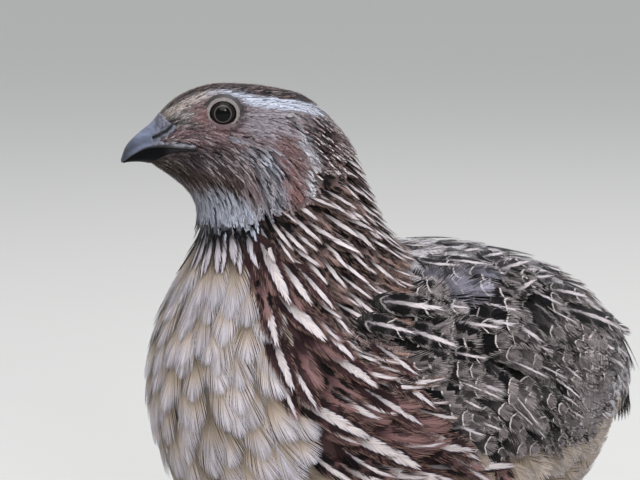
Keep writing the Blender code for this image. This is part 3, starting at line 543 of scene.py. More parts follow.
def mesh_from(name, points, corners, starts, colours, bake_uv, material):
    """A smooth mesh object from points in millimetres and flat arrays, with its colours and map."""
    mesh = bpy.data.meshes.new(name)
    mesh.vertices.add(len(points))
    mesh.vertices.foreach_set("co", ((points + SHIFT) * MM).astype(np.float32).ravel())
    mesh.loops.add(len(corners))
    mesh.loops.foreach_set("vertex_index", corners.astype(np.int32))
    mesh.polygons.add(len(starts))
    mesh.polygons.foreach_set("loop_start", starts.astype(np.int32))
    mesh.update(calc_edges=True)
    mesh.shade_smooth()
    for key, values in colours.items():
        made = mesh.color_attributes.new(key, "FLOAT_COLOR", "POINT")
        made.data.foreach_set("color", values.astype(np.float32).ravel())
    if bake_uv is not None:
        uv = mesh.uv_layers.new(name="OFBake", do_init=False)
        spots = bake_uv if len(bake_uv) == len(corners) else bake_uv[corners]
        uv.data.foreach_set("uv", spots.astype(np.float32).ravel())
    mesh.materials.append(material)
    obj = bpy.data.objects.new(name, mesh)
    bpy.context.scene.collection.objects.link(obj)
    return obj


def grid_faces(rings, sides, closed=True):
    """Corner lists of quads between rings, facing out where the rings run forward and round from the back."""
    count = sides if closed else sides - 1
    i, j = np.meshgrid(np.arange(rings - 1), np.arange(count), indexing="ij")
    k = (j + 1) % sides
    quads = np.stack([i * sides + j, (i + 1) * sides + j, (i + 1) * sides + k, i * sides + k], axis=-1)
    return quads.reshape(-1, 4)


def closed_tube(rings):
    """Points and faces of rings closed with a fan at each end; rings is (n, sides, 3)."""
    count, sides = rings.shape[:2]
    points = np.concatenate([rings.reshape(-1, 3), rings[0].mean(0)[None], rings[-1].mean(0)[None]])
    j = np.arange(sides)
    k = (j + 1) % sides
    first, last, top = count * sides, count * sides + 1, (count - 1) * sides
    fans = np.concatenate([np.stack([np.full(sides, first), j, k], 1), np.stack([np.full(sides, last), top + k, top + j], 1)])
    return points, grid_faces(count, sides), fans


def flat_faces(quads, triangles):
    """Quads and triangles as flat corner and start arrays."""
    corners = np.concatenate([quads.ravel(), triangles.ravel()])
    starts = np.concatenate([np.arange(len(quads)) * 4, len(quads) * 4 + np.arange(len(triangles)) * 3])
    return corners, starts


def tube_rings(path, radii, sides, start=None):
    """Rings of a tube along a path."""
    path = np.asarray(path, float)
    along = np.gradient(path, axis=0)
    along /= np.linalg.norm(along, axis=1, keepdims=True)
    aside = np.cross(along[0], (0.0, 1.0, 0.02) if start is None else start)
    rings = []
    for centre, ahead, radius in zip(path, along, radii):
        aside = aside - ahead * aside.dot(ahead)
        aside /= np.linalg.norm(aside)
        other = np.cross(ahead, aside)
        angle = np.arange(sides) * 2 * math.pi / sides
        rings.append(centre + radius * (np.cos(angle)[:, None] * aside + np.sin(angle)[:, None] * other))
    return np.array(rings)


# Feathers


class Lines:
    """Middle lines of many feathers, each a run of stations, and a rule that places points beside them."""

    def __init__(self, stations, lifts, place, root_uv):
        self.stations = stations  # arrays of (feathers, stations), fed to the rule
        self.lifts = lifts
        self.place = place
        self.root_uv = root_uv
        self.count, self.steps = lifts.shape

    def points(self, which, along, aside, rise):
        """Points at a share along feather number which, so far aside and above its line."""
        spot = np.clip(along, 0, 1) * (self.steps - 1)
        low = np.minimum(spot.astype(int), self.steps - 2)
        part = spot - low
        values = []
        for table in (*self.stations, self.lifts):
            here, there = table[which, low], table[which, low + 1]
            weight = part if here.ndim == part.ndim else part[..., None]
            values.append(here + (there - here) * weight)
        return self.place(*values[:-1], aside, values[-1] + rise)


def solved(pt, pa, direction):
    """Steps in t and a that move one millimetre in a direction over the surface."""
    e, f, g = (np.einsum("...i,...i", *pair) for pair in ((pt, pt), (pt, pa), (pa, pa)))
    u, v = np.einsum("...i,...i", direction, pt), np.einsum("...i,...i", direction, pa)
    span = np.maximum(e * g - f * f, 1e-6)
    return (g * u - f * v) / span, (e * v - f * u) / span


def march(surface, t, a, heading, reach, steps, bend, limits):
    """Lays a line from each root with the lie of the coat, turned by heading towards the back."""
    rows = []
    eps = 0.01
    for i in range(steps + 1):
        here = surface(t, a, 0.0)
        pt = (surface(t + eps, a, 0.0) - surface(t - eps, a, 0.0)) / (2 * eps)
        pa = (surface(t, a + eps, 0.0) - surface(t, a - eps, 0.0)) / (2 * eps)
        normal = np.cross(pt, pa)
        normal /= np.linalg.norm(normal, axis=-1, keepdims=True) + 1e-9
        ahead = -pt / (np.linalg.norm(pt, axis=-1, keepdims=True) + 1e-9)
        upward = np.cross(normal, ahead) * -np.sign(np.sin(a))[..., None]
        upward *= np.where(np.einsum("...i,...i", upward, pa) * np.sin(a) > 0, -1.0, 1.0)[..., None]
        angle = (heading + bend * i / steps)[..., None]
        ahead = np.cos(angle) * ahead + np.sin(angle) * upward
        aside = np.cross(normal, ahead)
        dt, da = solved(pt, pa, ahead)
        st, sa = solved(pt, pa, aside)
        rows.append((t, a, st, sa, here))
        t = np.clip(t + dt * reach / steps, *limits)
        a = a + da * reach / steps
    return [np.stack([r[k] for r in rows], axis=1) for k in range(5)]


def on_surface(surface, t, a, st, sa, lifts):
    """Feather lines that lie on a surface, with a bake patch at each root's place on its unwrap."""

    def place(t, a, st, sa, aside, lift):
        return surface(np.clip(t + st * aside, 0.02, LAST - 0.02), a + sa * aside, lift)

    root_uv = np.stack([(a[:, 0] / (2 * math.pi) + 0.5) % 1.0, t[:, 0] / LAST], axis=1)
    return Lines((t, a, st, sa), lifts, place, root_uv)


def in_space(centre, across, normal, lifts, root_uv):
    """Feather lines in free space, given by their points, their sideways and their upward directions."""

    def place(centre, across, normal, aside, lift):
        return centre + across * aside[..., None] + normal * lift[..., None]

    return Lines((centre, across, normal), lifts, place, root_uv)


def outline(x, tip):
    """Share of full width at a share of the length, for a blunt (tip 0) to pointed (tip 1) feather."""
    z = np.clip((x - 0.5) / 0.5, 0, 1)
    blunt = np.sqrt(np.clip(1 - z**2.6, 0, 1))
    sharp = np.clip(1 - z**1.5, 0, 1)
    return np.clip(x / 0.22, 0.25, 1) ** 0.6 * (blunt * (1 - tip) + sharp * tip)


def barb_reaches(base, angle, wide, tip):
    """How long each barb is, so that its end lies on the feather's outline; all as shares of the length."""
    low, high = np.zeros_like(base), np.full_like(base, 0.9)
    for _ in range(26):
        middle = (low + high) / 2
        over = middle * np.sin(angle) > wide * outline(base + middle * np.cos(angle), tip)
        over |= base + middle * np.cos(angle) > 1.0
        low, high = np.where(over, low, middle), np.where(over, middle, high)
    return low


BARB_STATIONS = np.array([0.0, 0.42, 0.76, 1.0])
BARB_WIDTHS = np.array([1.0, 0.95, 0.66, 0.0])
STRIP_CORNERS = np.array([0, 1, 3, 2, 2, 3, 5, 4, 4, 5, 6])
STRIP_STARTS = np.array([0, 4, 8])
SHAFT_END = 0.84


def vanes(rng, lines, spec, looks):
    """The barbs of many feathers as thin tapering strips, with the colours that their vanes carry.

    spec holds arrays for each feather: length, width; and shared numbers: barbs, tip, fray, camber.
    looks holds arrays for each feather: root and end colour, streak, rim, and the strengths of marks.
    """
    n, count = lines.count, spec["barbs"]
    side = np.tile([-1.0, 1.0], count)
    base = np.repeat((np.arange(count) + 0.6) / count, 2) * SHAFT_END
    spread, closing = spec.get("angle", (50, 38))
    angle = np.radians(spread - closing * (base / SHAFT_END) ** spec.get("turn", 1.2))
    size, wide = spec["length"][:, None], spec["width"][:, None]
    typical = float(np.median(spec["width"] / spec["length"])) / 2
    reach = barb_reaches(base, angle, typical, spec["tip"])
    fray = spec["fray"]
    reach = reach * (1 + fray * rng.normal(0, 0.10, (n, 2 * count)))
    clump = mottle(base * 9 + rng.random((n, 1)) * 60, side * 3 + rng.random((n, 1)) * 60)
    angle = angle + fray * (rng.normal(0, 0.05, (n, 2 * count)) + (clump - 0.5) * 0.35)
    ratio = (wide / size / 2) / typical  # this feather's own slimness
    q = BARB_STATIONS[None, None, :]
    bend = angle[..., None] * (1.18 - 0.36 * q)
    along = base[None, :, None] + reach[..., None] * q * np.cos(bend)
    aside = side[None, :, None] * reach[..., None] * q * np.sin(bend) * ratio[..., None]
    cover = spec.get("cover", 0.92) / count * SHAFT_END
    thick = cover * np.sin(np.maximum(angle, 0.2))[..., None] * BARB_WIDTHS
    da, du = thick * np.sin(bend), thick * np.cos(bend) * side[None, :, None] * ratio[..., None]
    vertex_along = np.stack([along - da, along + da], axis=-1)
    vertex_aside = np.stack([aside + du, aside - du], axis=-1)
    # corners in order: pairs at three stations, then the tip
    vertex_along = vertex_along.reshape(n, 2 * count, 8)[..., :7]
    vertex_aside = vertex_aside.reshape(n, 2 * count, 8)[..., :7]
    q7 = np.repeat(BARB_STATIONS, 2)[:7]
    which = np.broadcast_to(np.arange(n)[:, None, None], vertex_along.shape)
    u = vertex_aside * size[..., None]
    share_out = vertex_aside / (typical * ratio[..., None])
    rise = -spec["camber"] * wide[..., None] * share_out**2
    rise = rise + fray * rng.normal(0, 0.10, (n, 2 * count, 1)) * q7**2 * 1.2
    points = lines.points(which, vertex_along, u, rise)
    above = lines.points(which[..., :1], vertex_along[..., :1], u[..., :1], rise[..., :1] + 0.6)[..., 0, :]
    face = np.cross(points[..., 3, :] - points[..., 0, :], points[..., 2, :] - points[..., 1, :])
    inward = np.einsum("...i,...i", face, above - points[..., 0, :]) < 0
    swap = np.array([1, 0, 3, 2, 5, 4, 6])
    for table in (vertex_along, share_out):
        table[...] = np.where(inward[..., None], table[..., swap], table)
    points = np.where(inward[..., None, None], points[..., swap, :], points)
    chance = np.broadcast_to(rng.random((n, 2 * count, 1)), vertex_along.shape)
    mix = smooth(vertex_along, *spec.get("fade", (0.5, 0.8)))[..., None]
    ground = looks["root"][:, None, None, :] * (1 - mix) + looks["end"][:, None, None, :] * mix
    flat = {
        "ground": np.concatenate([ground, (share_out / 2 + 0.5)[..., None]], axis=-1),
        "barb": np.stack([np.broadcast_to(q7, chance.shape), chance, vertex_along,
                          np.broadcast_to(size[..., None] / 10, chance.shape)], axis=-1),
    }
    for key in ("streak", "rim", "marks"):
        flat[key] = np.broadcast_to(looks[key][:, None, None, :], (*chance.shape, 4))
    patch = np.stack([share_out / 2, vertex_along - 0.5], axis=-1) * 0.003
    uv = lines.root_uv[:, None, None, :] + patch
    return {
        "points": points.reshape(-1, 3),
        "strips": n * 2 * count,
        "colours": {k: v.reshape(-1, 4) for k, v in flat.items()},
        "uv": uv.reshape(-1, 2),
    }


def coat_object(name, batches, material, slot, replaced=()):
    """Batches of vanes joined into one mesh that rides with the bird."""
    points = np.concatenate([b["points"] for b in batches])
    strips = sum(b["strips"] for b in batches)
    corners = (STRIP_CORNERS[None, :] + 7 * np.arange(strips)[:, None]).ravel()
    starts = (STRIP_STARTS[None, :] + 11 * np.arange(strips)[:, None]).ravel()
    colours = {k: np.concatenate([b["colours"][k] for b in batches]) for k in batches[0]["colours"]}
    uv = np.concatenate([b["uv"] for b in batches])
    obj = mesh_from(name, points, corners, starts, colours, uv, material)
    return settle(obj, slot, *replaced)


def settle(obj, slot, *replaced):
    """Lets a piece ride with the bird and hides the solids that it stands for; its slot is not used."""
    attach(obj, "root")
    if replaced:
        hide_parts(*replaced)
    return obj


def scatter(rng, t_range, spacing, tries):
    """Roots all over a stretch of the skin, each at least the coat's spacing from its neighbours."""
    t = rng.uniform(*t_range, tries * 3)
    a = rng.uniform(-math.pi, math.pi, tries * 3)
    eps = 0.02
    pt = (body(t + eps, a, 0.0) - body(t - eps, a, 0.0)) / (2 * eps)
    pa = (body(t, a + eps, 0.0) - body(t, a - eps, 0.0)) / (2 * eps)
    area = np.linalg.norm(np.cross(pt, pa), axis=1)
    gap = spacing(t, a)
    weight = area / gap**2
    kept = rng.random(len(t)) < weight / np.quantile(weight, 0.995)
    t, a, gap = t[kept], a[kept], gap[kept]
    points = body(t, a, 0.0)
    cell = float(gap.max())
    cells = np.floor(points / cell).astype(int)
    grid, chosen = {}, []
    near = [(i, j, k) for i in (-1, 0, 1) for j in (-1, 0, 1) for k in (-1, 0, 1)]
    spots = points.tolist()
    for index, (key, spot, apart) in enumerate(zip(map(tuple, cells.tolist()), spots, gap.tolist())):
        limit = apart * apart
        clear = True
        for i, j, k in near:
            for other in grid.get((key[0] + i, key[1] + j, key[2] + k), ()):
                q = spots[other]
                if (q[0] - spot[0]) ** 2 + (q[1] - spot[1]) ** 2 + (q[2] - spot[2]) ** 2 < limit:
                    clear = False
                    break
            if not clear:
                break
        if clear:
            grid.setdefault(key, []).append(index)
            chosen.append(index)
    return t[chosen], a[chosen]


# The plumage: what grows where, in millimetres. root and end are the vane's colours, streak the
# shaft's with its half width, rim the edge's with its strength; some is the share of feathers that
# have the streak; angle is how far the barbs spread at the root and how much they close by the tip.
PLUMES = {
    "belly": dict(fade=(0.50, 0.90), length=14.0, width=9.0, spacing=4.9, barbs=32, tip=0.0, fray=0.6, root="ochre", end="belly", some=0.0,
                  streak=("buff", 0.0), rim=("buff", 0.5), blotch=0.0, bars=0.0, waves=0.1, lift=0.5, angle=(40, 36)),
    "breast": dict(fade=(0.50, 0.86), length=13.0, width=10.0, spacing=4.4, barbs=44, tip=0.0, fray=0.35, root="ochre", end="buff", some=0.1,
                   streak=("white", 0.04), rim=("white", 0.35), blotch=0.0, bars=0.0, waves=0.0, lift=0.5, angle=(38, 34)),
    "breast_side": dict(length=13.5, width=6.6, spacing=3.6, barbs=32, tip=0.3, fray=0.5, root="maroon", end="maroon",
                        some=0.45, streak=("buff", 0.30), rim=("ochre", 0.4), blotch=0.2, bars=0.0, waves=0.0, lift=0.4,
                        angle=(34, 30)),
    "bib": dict(length=9.5, width=4.6, spacing=2.7, barbs=26, tip=0.3, fray=0.6, root="umber", end="maroon", some=0.93,
                streak=("buff", 0.40), rim=("umber", 0.5), blotch=0.3, bars=0.0, waves=0.0, lift=0.2, angle=(32, 28)),
    "necklace": dict(length=4.6, width=2.6, spacing=1.9, barbs=14, tip=0.3, fray=1.0, root="soot", end="soot", some=0.4,
                     streak=("white", 0.34), rim=("white", 0.15), blotch=0.0, bars=0.0, waves=0.0, lift=0.4,
                     angle=(36, 32)),
    "flank": dict(length=14.0, width=6.0, spacing=3.9, barbs=34, tip=0.6, fray=0.4, root="maroon", end="rufous", some=0.55,
                  streak=("cream", 0.14), rim=("russet", 0.6), blotch=0.7, bars=0.0, waves=0.0, lift=1.3, angle=(30, 26)),
    "flank_low": dict(length=16.0, width=7.0, spacing=4.4, barbs=36, tip=0.6, fray=0.5, root="maroon", end="rufous",
                      some=0.60, streak=("cream", 0.17), rim=("russet", 0.6), blotch=0.7, bars=0.0, waves=0.0, lift=1.8,
                      angle=(30, 26)),
    "flank_upper": dict(length=12.0, width=4.2, spacing=2.8, barbs=24, tip=0.9, fray=1.0, root="maroon", end="russet",
                        some=0.5, streak=("cream", 0.14), rim=("cream", 0.35), blotch=0.6, bars=0.1, waves=0.3, lift=1.3,
                        angle=(30, 26)),
    "shoulder": dict(length=10.5, width=4.6, spacing=2.8, barbs=24, tip=0.6, fray=0.9, root="umber", end="tan", some=0.55,
                     streak=("cream", 0.15), rim=("cream", 0.3), blotch=0.7, bars=0.15, waves=0.5, lift=0.9,
                     angle=(32, 28)),
    "neck": dict(length=9.5, width=4.2, spacing=2.5, barbs=24, tip=0.7, fray=0.5, root="soot", end="tan", some=0.8,
                 streak=("cream", 0.20), rim=("russet", 0.4), blotch=0.95, bars=0.0, waves=0.35, lift=0.7, angle=(32, 27)),
    "nape": dict(length=8.0, width=3.4, spacing=2.1, barbs=20, tip=0.8, fray=0.4, root="soot", end="umber", some=0.9,
                 streak=("cream", 0.23), rim=("russet", 0.4), blotch=0.8, bars=0.0, waves=0.3, lift=0.5, angle=(32, 27)),
    "ruff": dict(length=10.5, width=5.0, spacing=3.1, barbs=26, tip=0.5, fray=0.9, root="soot", end="russet", some=0.5,
                 streak=("cream", 0.14), rim=("tan", 0.5), blotch=0.7, bars=0.1, waves=0.8, lift=0.9, angle=(34, 29)),
    "mantle": dict(length=12.0, width=6.4, spacing=3.7, barbs=30, tip=0.2, fray=0.4, root="soot", end="ash", some=0.4,
                   streak=("cream", 0.14), rim=("cream", 0.2), blotch=0.15, bars=0.4, waves=0.6, lift=0.2, angle=(40, 33)),
    "back": dict(length=13.0, width=7.0, spacing=4.1, barbs=30, tip=0.2, fray=0.4, root="soot", end="ash", some=0.5,
                 streak=("cream", 0.16), rim=("cream", 0.35), blotch=0.4, bars=0.6, waves=0.6, lift=0.2, angle=(40, 33)),
    "rump": dict(length=12.5, width=5.8, spacing=3.4, barbs=28, tip=0.45, fray=0.6, root="soot", end="ash", some=0.6,
                 streak=("cream", 0.20), rim=("ochre", 0.3), blotch=0.85, bars=0.5, waves=0.5, lift=0.4, angle=(34, 29)),
    "rump_side": dict(length=13.0, width=4.8, spacing=3.0, barbs=22, tip=0.5, fray=1.1, root="soot", end="ash", some=0.35,
                      streak=("cream", 0.14), rim=("cream", 0.4), blotch=0.6, bars=0.55, waves=0.4, lift=1.3,
                      angle=(30, 26)),
    "vent": dict(length=12.0, width=6.6, spacing=4.0, barbs=18, tip=0.2, fray=1.2, root="umber", end="ochre", some=0.0,
                 streak=("cream", 0.0), rim=("belly", 0.5), blotch=0.1, bars=0.0, waves=0.2, lift=0.5, angle=(36, 30)),
    "covert_block": dict(fade=(0.50, 0.80), spread=0.25, length=16.0, width=11.6, spacing=6.6, barbs=44, tip=0.0, fray=0.35, root="soot", end="earth",
                         some=0.0, streak=("cream", 0.0), rim=("cream", 0.5), blotch=0.9, bars=1.0, waves=0.2, lift=1.6,
                         angle=(42, 36)),
    "covert_blue": dict(spread=0.22, length=14.0, width=8.2, spacing=4.6, barbs=32, tip=0.0, fray=0.5, root="soot", end="slate",
                        some=0.0, streak=("cream", 0.0), rim=("cream", 0.2), blotch=0.3, bars=0.5, waves=0.15, lift=1.7,
                        angle=(38, 32)),
    "covert_dark": dict(fade=(0.45, 0.80), spread=0.25, length=15.0, width=9.0, spacing=5.3, barbs=38, tip=0.1, fray=0.4, root="soot", end="earth",
                        some=0.2, streak=("cream", 0.07), rim=("cream", 0.45), blotch=0.85, bars=0.95, waves=0.15, lift=1.5,
                        angle=(36, 30)),
    "covert_scale": dict(spread=0.22, length=12.5, width=6.4, spacing=3.9, barbs=30, tip=0.1, fray=0.3, root="soot", end="earth",
                         some=0.08, streak=("cream", 0.10), rim=("cream", 0.35), blotch=0.4, bars=0.6, waves=0.12,
                         lift=1.4, angle=(34, 29)),
    "covert_loose": dict(length=13.0, width=4.4, spacing=2.9, barbs=22, tip=0.5, fray=1.1, root="soot", end="earth",
                         some=0.2, streak=("cream", 0.12), rim=("cream", 0.4), blotch=0.4, bars=0.7, waves=0.3,
                         lift=1.4, angle=(28, 24)),
}
PLUME_NAMES = tuple(PLUMES)

# The line between the pale breast and the streaked flank: row place and angle
BREAST_EDGE = ((7.0, 108.0), (9.0, 114.0), (10.4, 118.0), (11.4, 121.0), (12.3, 120.0), (12.9, 123.0), (14.6, 130.0))
# the line between the flank's broad feathers and what lies above them
FLANK_TOP = ((7.2, 106.0), (7.6, 101.0), (8.3, 92.0), (9.0, 87.0), (10.5, 86.0), (11.0, 90.0), (12.0, 99.0), (13.0, 112.0),
             (14.6, 122.0))
# and the folded wing's lower edge, as far as the coverts hide the flank
WING_EDGE = ((5.4, 92.0), (6.0, 98.0), (6.8, 104.0), (7.5, 101.0), (8.3, 91.0), (9.2, 82.0), (10.4, 77.0), (11.4, 70.0))


def plume_kind(t, a):
    """The kind of plumage at each place, as an index into PLUME_NAMES, with wandering borders."""
    angle = np.abs(np.degrees(a))
    wander = (mottle(t * 2.1, angle / 9, 2) - 0.5) * 2
    angle = angle + wander * 3
    t = t + (mottle(t * 1.7, angle / 11, 3) - 0.5) * 0.3
    edge = np.interp(t, *np.array(BREAST_EDGE).T)
    top = np.interp(t, *np.array(FLANK_TOP).T)
    wing = np.interp(t, *np.array(WING_EDGE).T)
    kind = np.full(np.shape(t), PLUME_NAMES.index("belly"))

    def paint(name, where):
        kind[where] = PLUME_NAMES.index(name)

    paint("breast", (t > 8.6) & (angle > edge))
    paint("breast_side", (t > 12.0) & (t < 14.3) & (angle > 126.0) & (angle < 134.0))
    paint("vent", (t < 4.8) & (angle > 92))
    paint("flank_low", (t > 7.2) & (t <= 10.2) & (angle > top) & (angle <= edge))
    paint("flank", (t > 10.2) & (angle > top) & (angle <= edge))
    paint("flank_upper", (t > 8.0) & (t < 10.8) & (angle > 60) & (angle <= top))
    paint("shoulder", (t > 10.8) & (angle <= top) & (angle > 50))
    paint("bib", (t > 13.6) & (angle > edge))
    paint("neck", (t > 11.9) & (angle <= top))
    paint("nape", (t > 12.4) & (angle < 52))
    paint("ruff", (t > 11.0) & (t <= 11.9) & (angle <= 72))
    paint("mantle", (t > 8.2) & (t <= 11.0) & (angle <= 60))
    paint("back", (t > 5.2) & (t <= 8.2) & (angle <= 70))
    paint("rump", (t <= 5.6) & (angle <= 66))
    paint("rump_side", (t <= 5.6) & (angle > 66) & (angle <= 96))
    paint("necklace", (t > np.interp(angle, (115, 135, 180), (14.15, 14.40, 14.50))) & (angle > 118))
    folded = (angle < wing) & (t < 10.9) & (t > 5.4)
    paint("covert_block", folded & (angle > 52) & (t > 7.9))
    paint("covert_blue", folded & (angle > 36) & (angle <= 56) & (t > 7.6) & (t < 9.7) & (mottle(t * 3.1, angle / 5, 4) > 0.38))
    paint("covert_dark", folded & (angle > 38) & (angle <= 70) & (t > 6.6) & (t <= 8.2))
    paint("covert_scale", folded & (angle > np.interp(t, (7.0, 9.0, 10.5), (66, 70, 80))) & (t > 7.0))
    paint("covert_loose", folded & (angle > 50) & (t <= 7.0))
    return kind


def by_kind(kind, key):
    """One number of each place's plumage."""
    return np.array([PLUMES[name][key] for name in PLUME_NAMES])[kind]


# How far the coat on the side lies turned towards the back, in degrees, by row place
SIDE_LIE = (
    (4.5, -16.0), (6.5, -30.0), (7.8, -36.0), (8.6, -20.0), (9.3, 0.0), (10.0, 17.0), (10.8, 32.0), (12.0, 36.0),
    (13.0, 30.0), (15.2, 27.0),
)
LIE_EDGE = ((9.0, 126.0), (11.0, 123.0), (12.5, 119.0), (14.5, 117.0))


def body_heading(t, a):
    """How far feathers turn towards the back from the body's own lines, in radians."""
    angle = np.abs(np.degrees(a))
    turned = np.interp(t, *np.array(SIDE_LIE).T)
    edge = np.interp(t, *np.array(LIE_EDGE).T)
    side = smooth(angle, 6, 44) * (1 - smooth(angle, edge - 7, edge + 7))
    return np.radians(turned * side + 8 * smooth(angle, 110, 140) * (1 - smooth(angle, 160, 178)))


def toned(rng, tones, amount):
    """Colours each made a little lighter or darker."""
    return np.clip(tones * (1 + rng.normal(0, amount, (len(tones), 1))), 0.0, 1.0)


def palette():
    """The user's colours as arrays by name."""
    colours = bpy.context.scene.quail_colours
    return {key: np.array(getattr(colours, key)) for key in QuailColours.__annotations__}


def looks_of(rng, names, spread=0.10, marks_spread=0.35):
    """Colour arrays for feathers of the named kinds."""
    tones = palette()
    n = len(names)
    pick = {key: np.array([tones[PLUMES[name][key]] for name in names]) for key in ("root", "end")}
    streak = np.array([(*tones[PLUMES[name]["streak"][0]], PLUMES[name]["streak"][1]) for name in names])
    rim = np.array([(*tones[PLUMES[name]["rim"][0]], PLUMES[name]["rim"][1]) for name in names])
    streak[:, :3] = toned(rng, streak[:, :3], 0.08)
    some = np.array([PLUMES[name]["some"] for name in names])
    streak[:, 3] *= np.clip(rng.normal(1, 0.22, n), 0.5, 1.5) * (rng.random(n) < some)
    marks = np.array([[PLUMES[name][key] for key in ("blotch", "bars", "waves")] for name in names])
    marks = np.clip(marks * (1 + rng.normal(0, marks_spread, (n, 3))), 0, 1)
    marks = np.concatenate([marks, rng.random((n, 1))], axis=1)
    level = rng.normal(0, spread, (n, 1))
    root = np.clip(pick["root"] * (1 + level), 0, 1)
    end = np.clip(pick["end"] * (1 + level), 0, 1)
    return {"root": root, "end": end, "streak": streak, "rim": rim, "marks": marks}


def grow_body(rng, t, a, kind, scale, fray):
    """Body feathers of one kind at the given roots, as a batch of vanes."""
    name = PLUME_NAMES[kind]
    rule = PLUMES[name]
    n = len(t)
    sizes = np.clip(rng.normal(1, 0.09, n), 0.75, 1.25)
    reach = rule["length"] * scale * sizes
    wide = rule["width"] * np.clip(rng.normal(1, 0.07, n), 0.8, 1.2)
    heading = body_heading(t, a) + rng.normal(0, 0.09, n)
    lines = march(body, t, a, heading, reach, 9, rng.normal(0, 0.06, n), (0.05, LAST))
    tt, aa, st, sa, _ = lines
    along = np.linspace(0, 1, tt.shape[1])
    depth = bpy.context.scene.quail_sizes.coat_depth
    lifts = -depth * 0.85 + (rule["lift"] + depth * 0.85) * along**0.8 + rng.normal(0, 0.12, (n, 1)) * along
    lifts = lifts + wing_swell(tt, aa)
    spec = {"length": reach, "width": wide, "barbs": rule["barbs"], "tip": rule["tip"],
            "fray": rule["fray"] * 2 * fray, "camber": 0.06, "angle": rule["angle"], "turn": 0.75,
            "fade": rule.get("fade", (0.35, 0.75))}
    return vanes(rng, on_surface(body, tt, aa, st, sa, lifts), spec, looks_of(rng, [name] * n, rule.get("spread", 0.10)))


# The head's markings, in places forward and up from the eyes


def stroke(forward, up, line, half, soft=0.5):
    """1 within half a width of a line, falling to 0 just outside it; half may change along the line."""
    line = np.array(line, float)
    widths = np.broadcast_to(np.asarray(half, float), len(line))
    best = np.full(np.shape(forward), 9.0)
    for start, end, low, high in zip(line[:-1], line[1:], widths[:-1], widths[1:]):
        span = end - start
        along = ((forward - start[0]) * span[0] + (up - start[1]) * span[1]) / span.dot(span)
        along = np.clip(along, 0, 1)
        gap = np.hypot(forward - start[0] - along * span[0], up - start[1] - along * span[1])
        best = np.minimum(best, gap - (low + (high - low) * along))
    return 1 - smooth(best, -soft / 2, soft / 2)


def patch(forward, up, centre, radii, soft=0.25):
    """1 inside an ellipse, falling to 0 at its edge."""
    far = np.hypot((forward - centre[0]) / radii[0], (up - centre[1]) / radii[1])
    return 1 - smooth(far, 1 - soft, 1 + soft)


BROW = (
    (13.6, -1.2), (11.0, 0.5), (8.0, 2.1), (5.0, 3.5), (1.4, 4.35), (-1.5, 4.25), (-4.0, 3.3), (-8.0, 2.3),
    (-15.8, 1.3), (-22.0, -0.8),
)
BROW_HALF = (0.4, 0.7, 0.85, 0.8, 0.6, 0.65, 0.9, 1.1, 1.15, 0.9)
MOUTH_CREASE = ((11.5, -7.3), (6.2, -7.7), (3.0, -8.3), (0.0, -9.3))


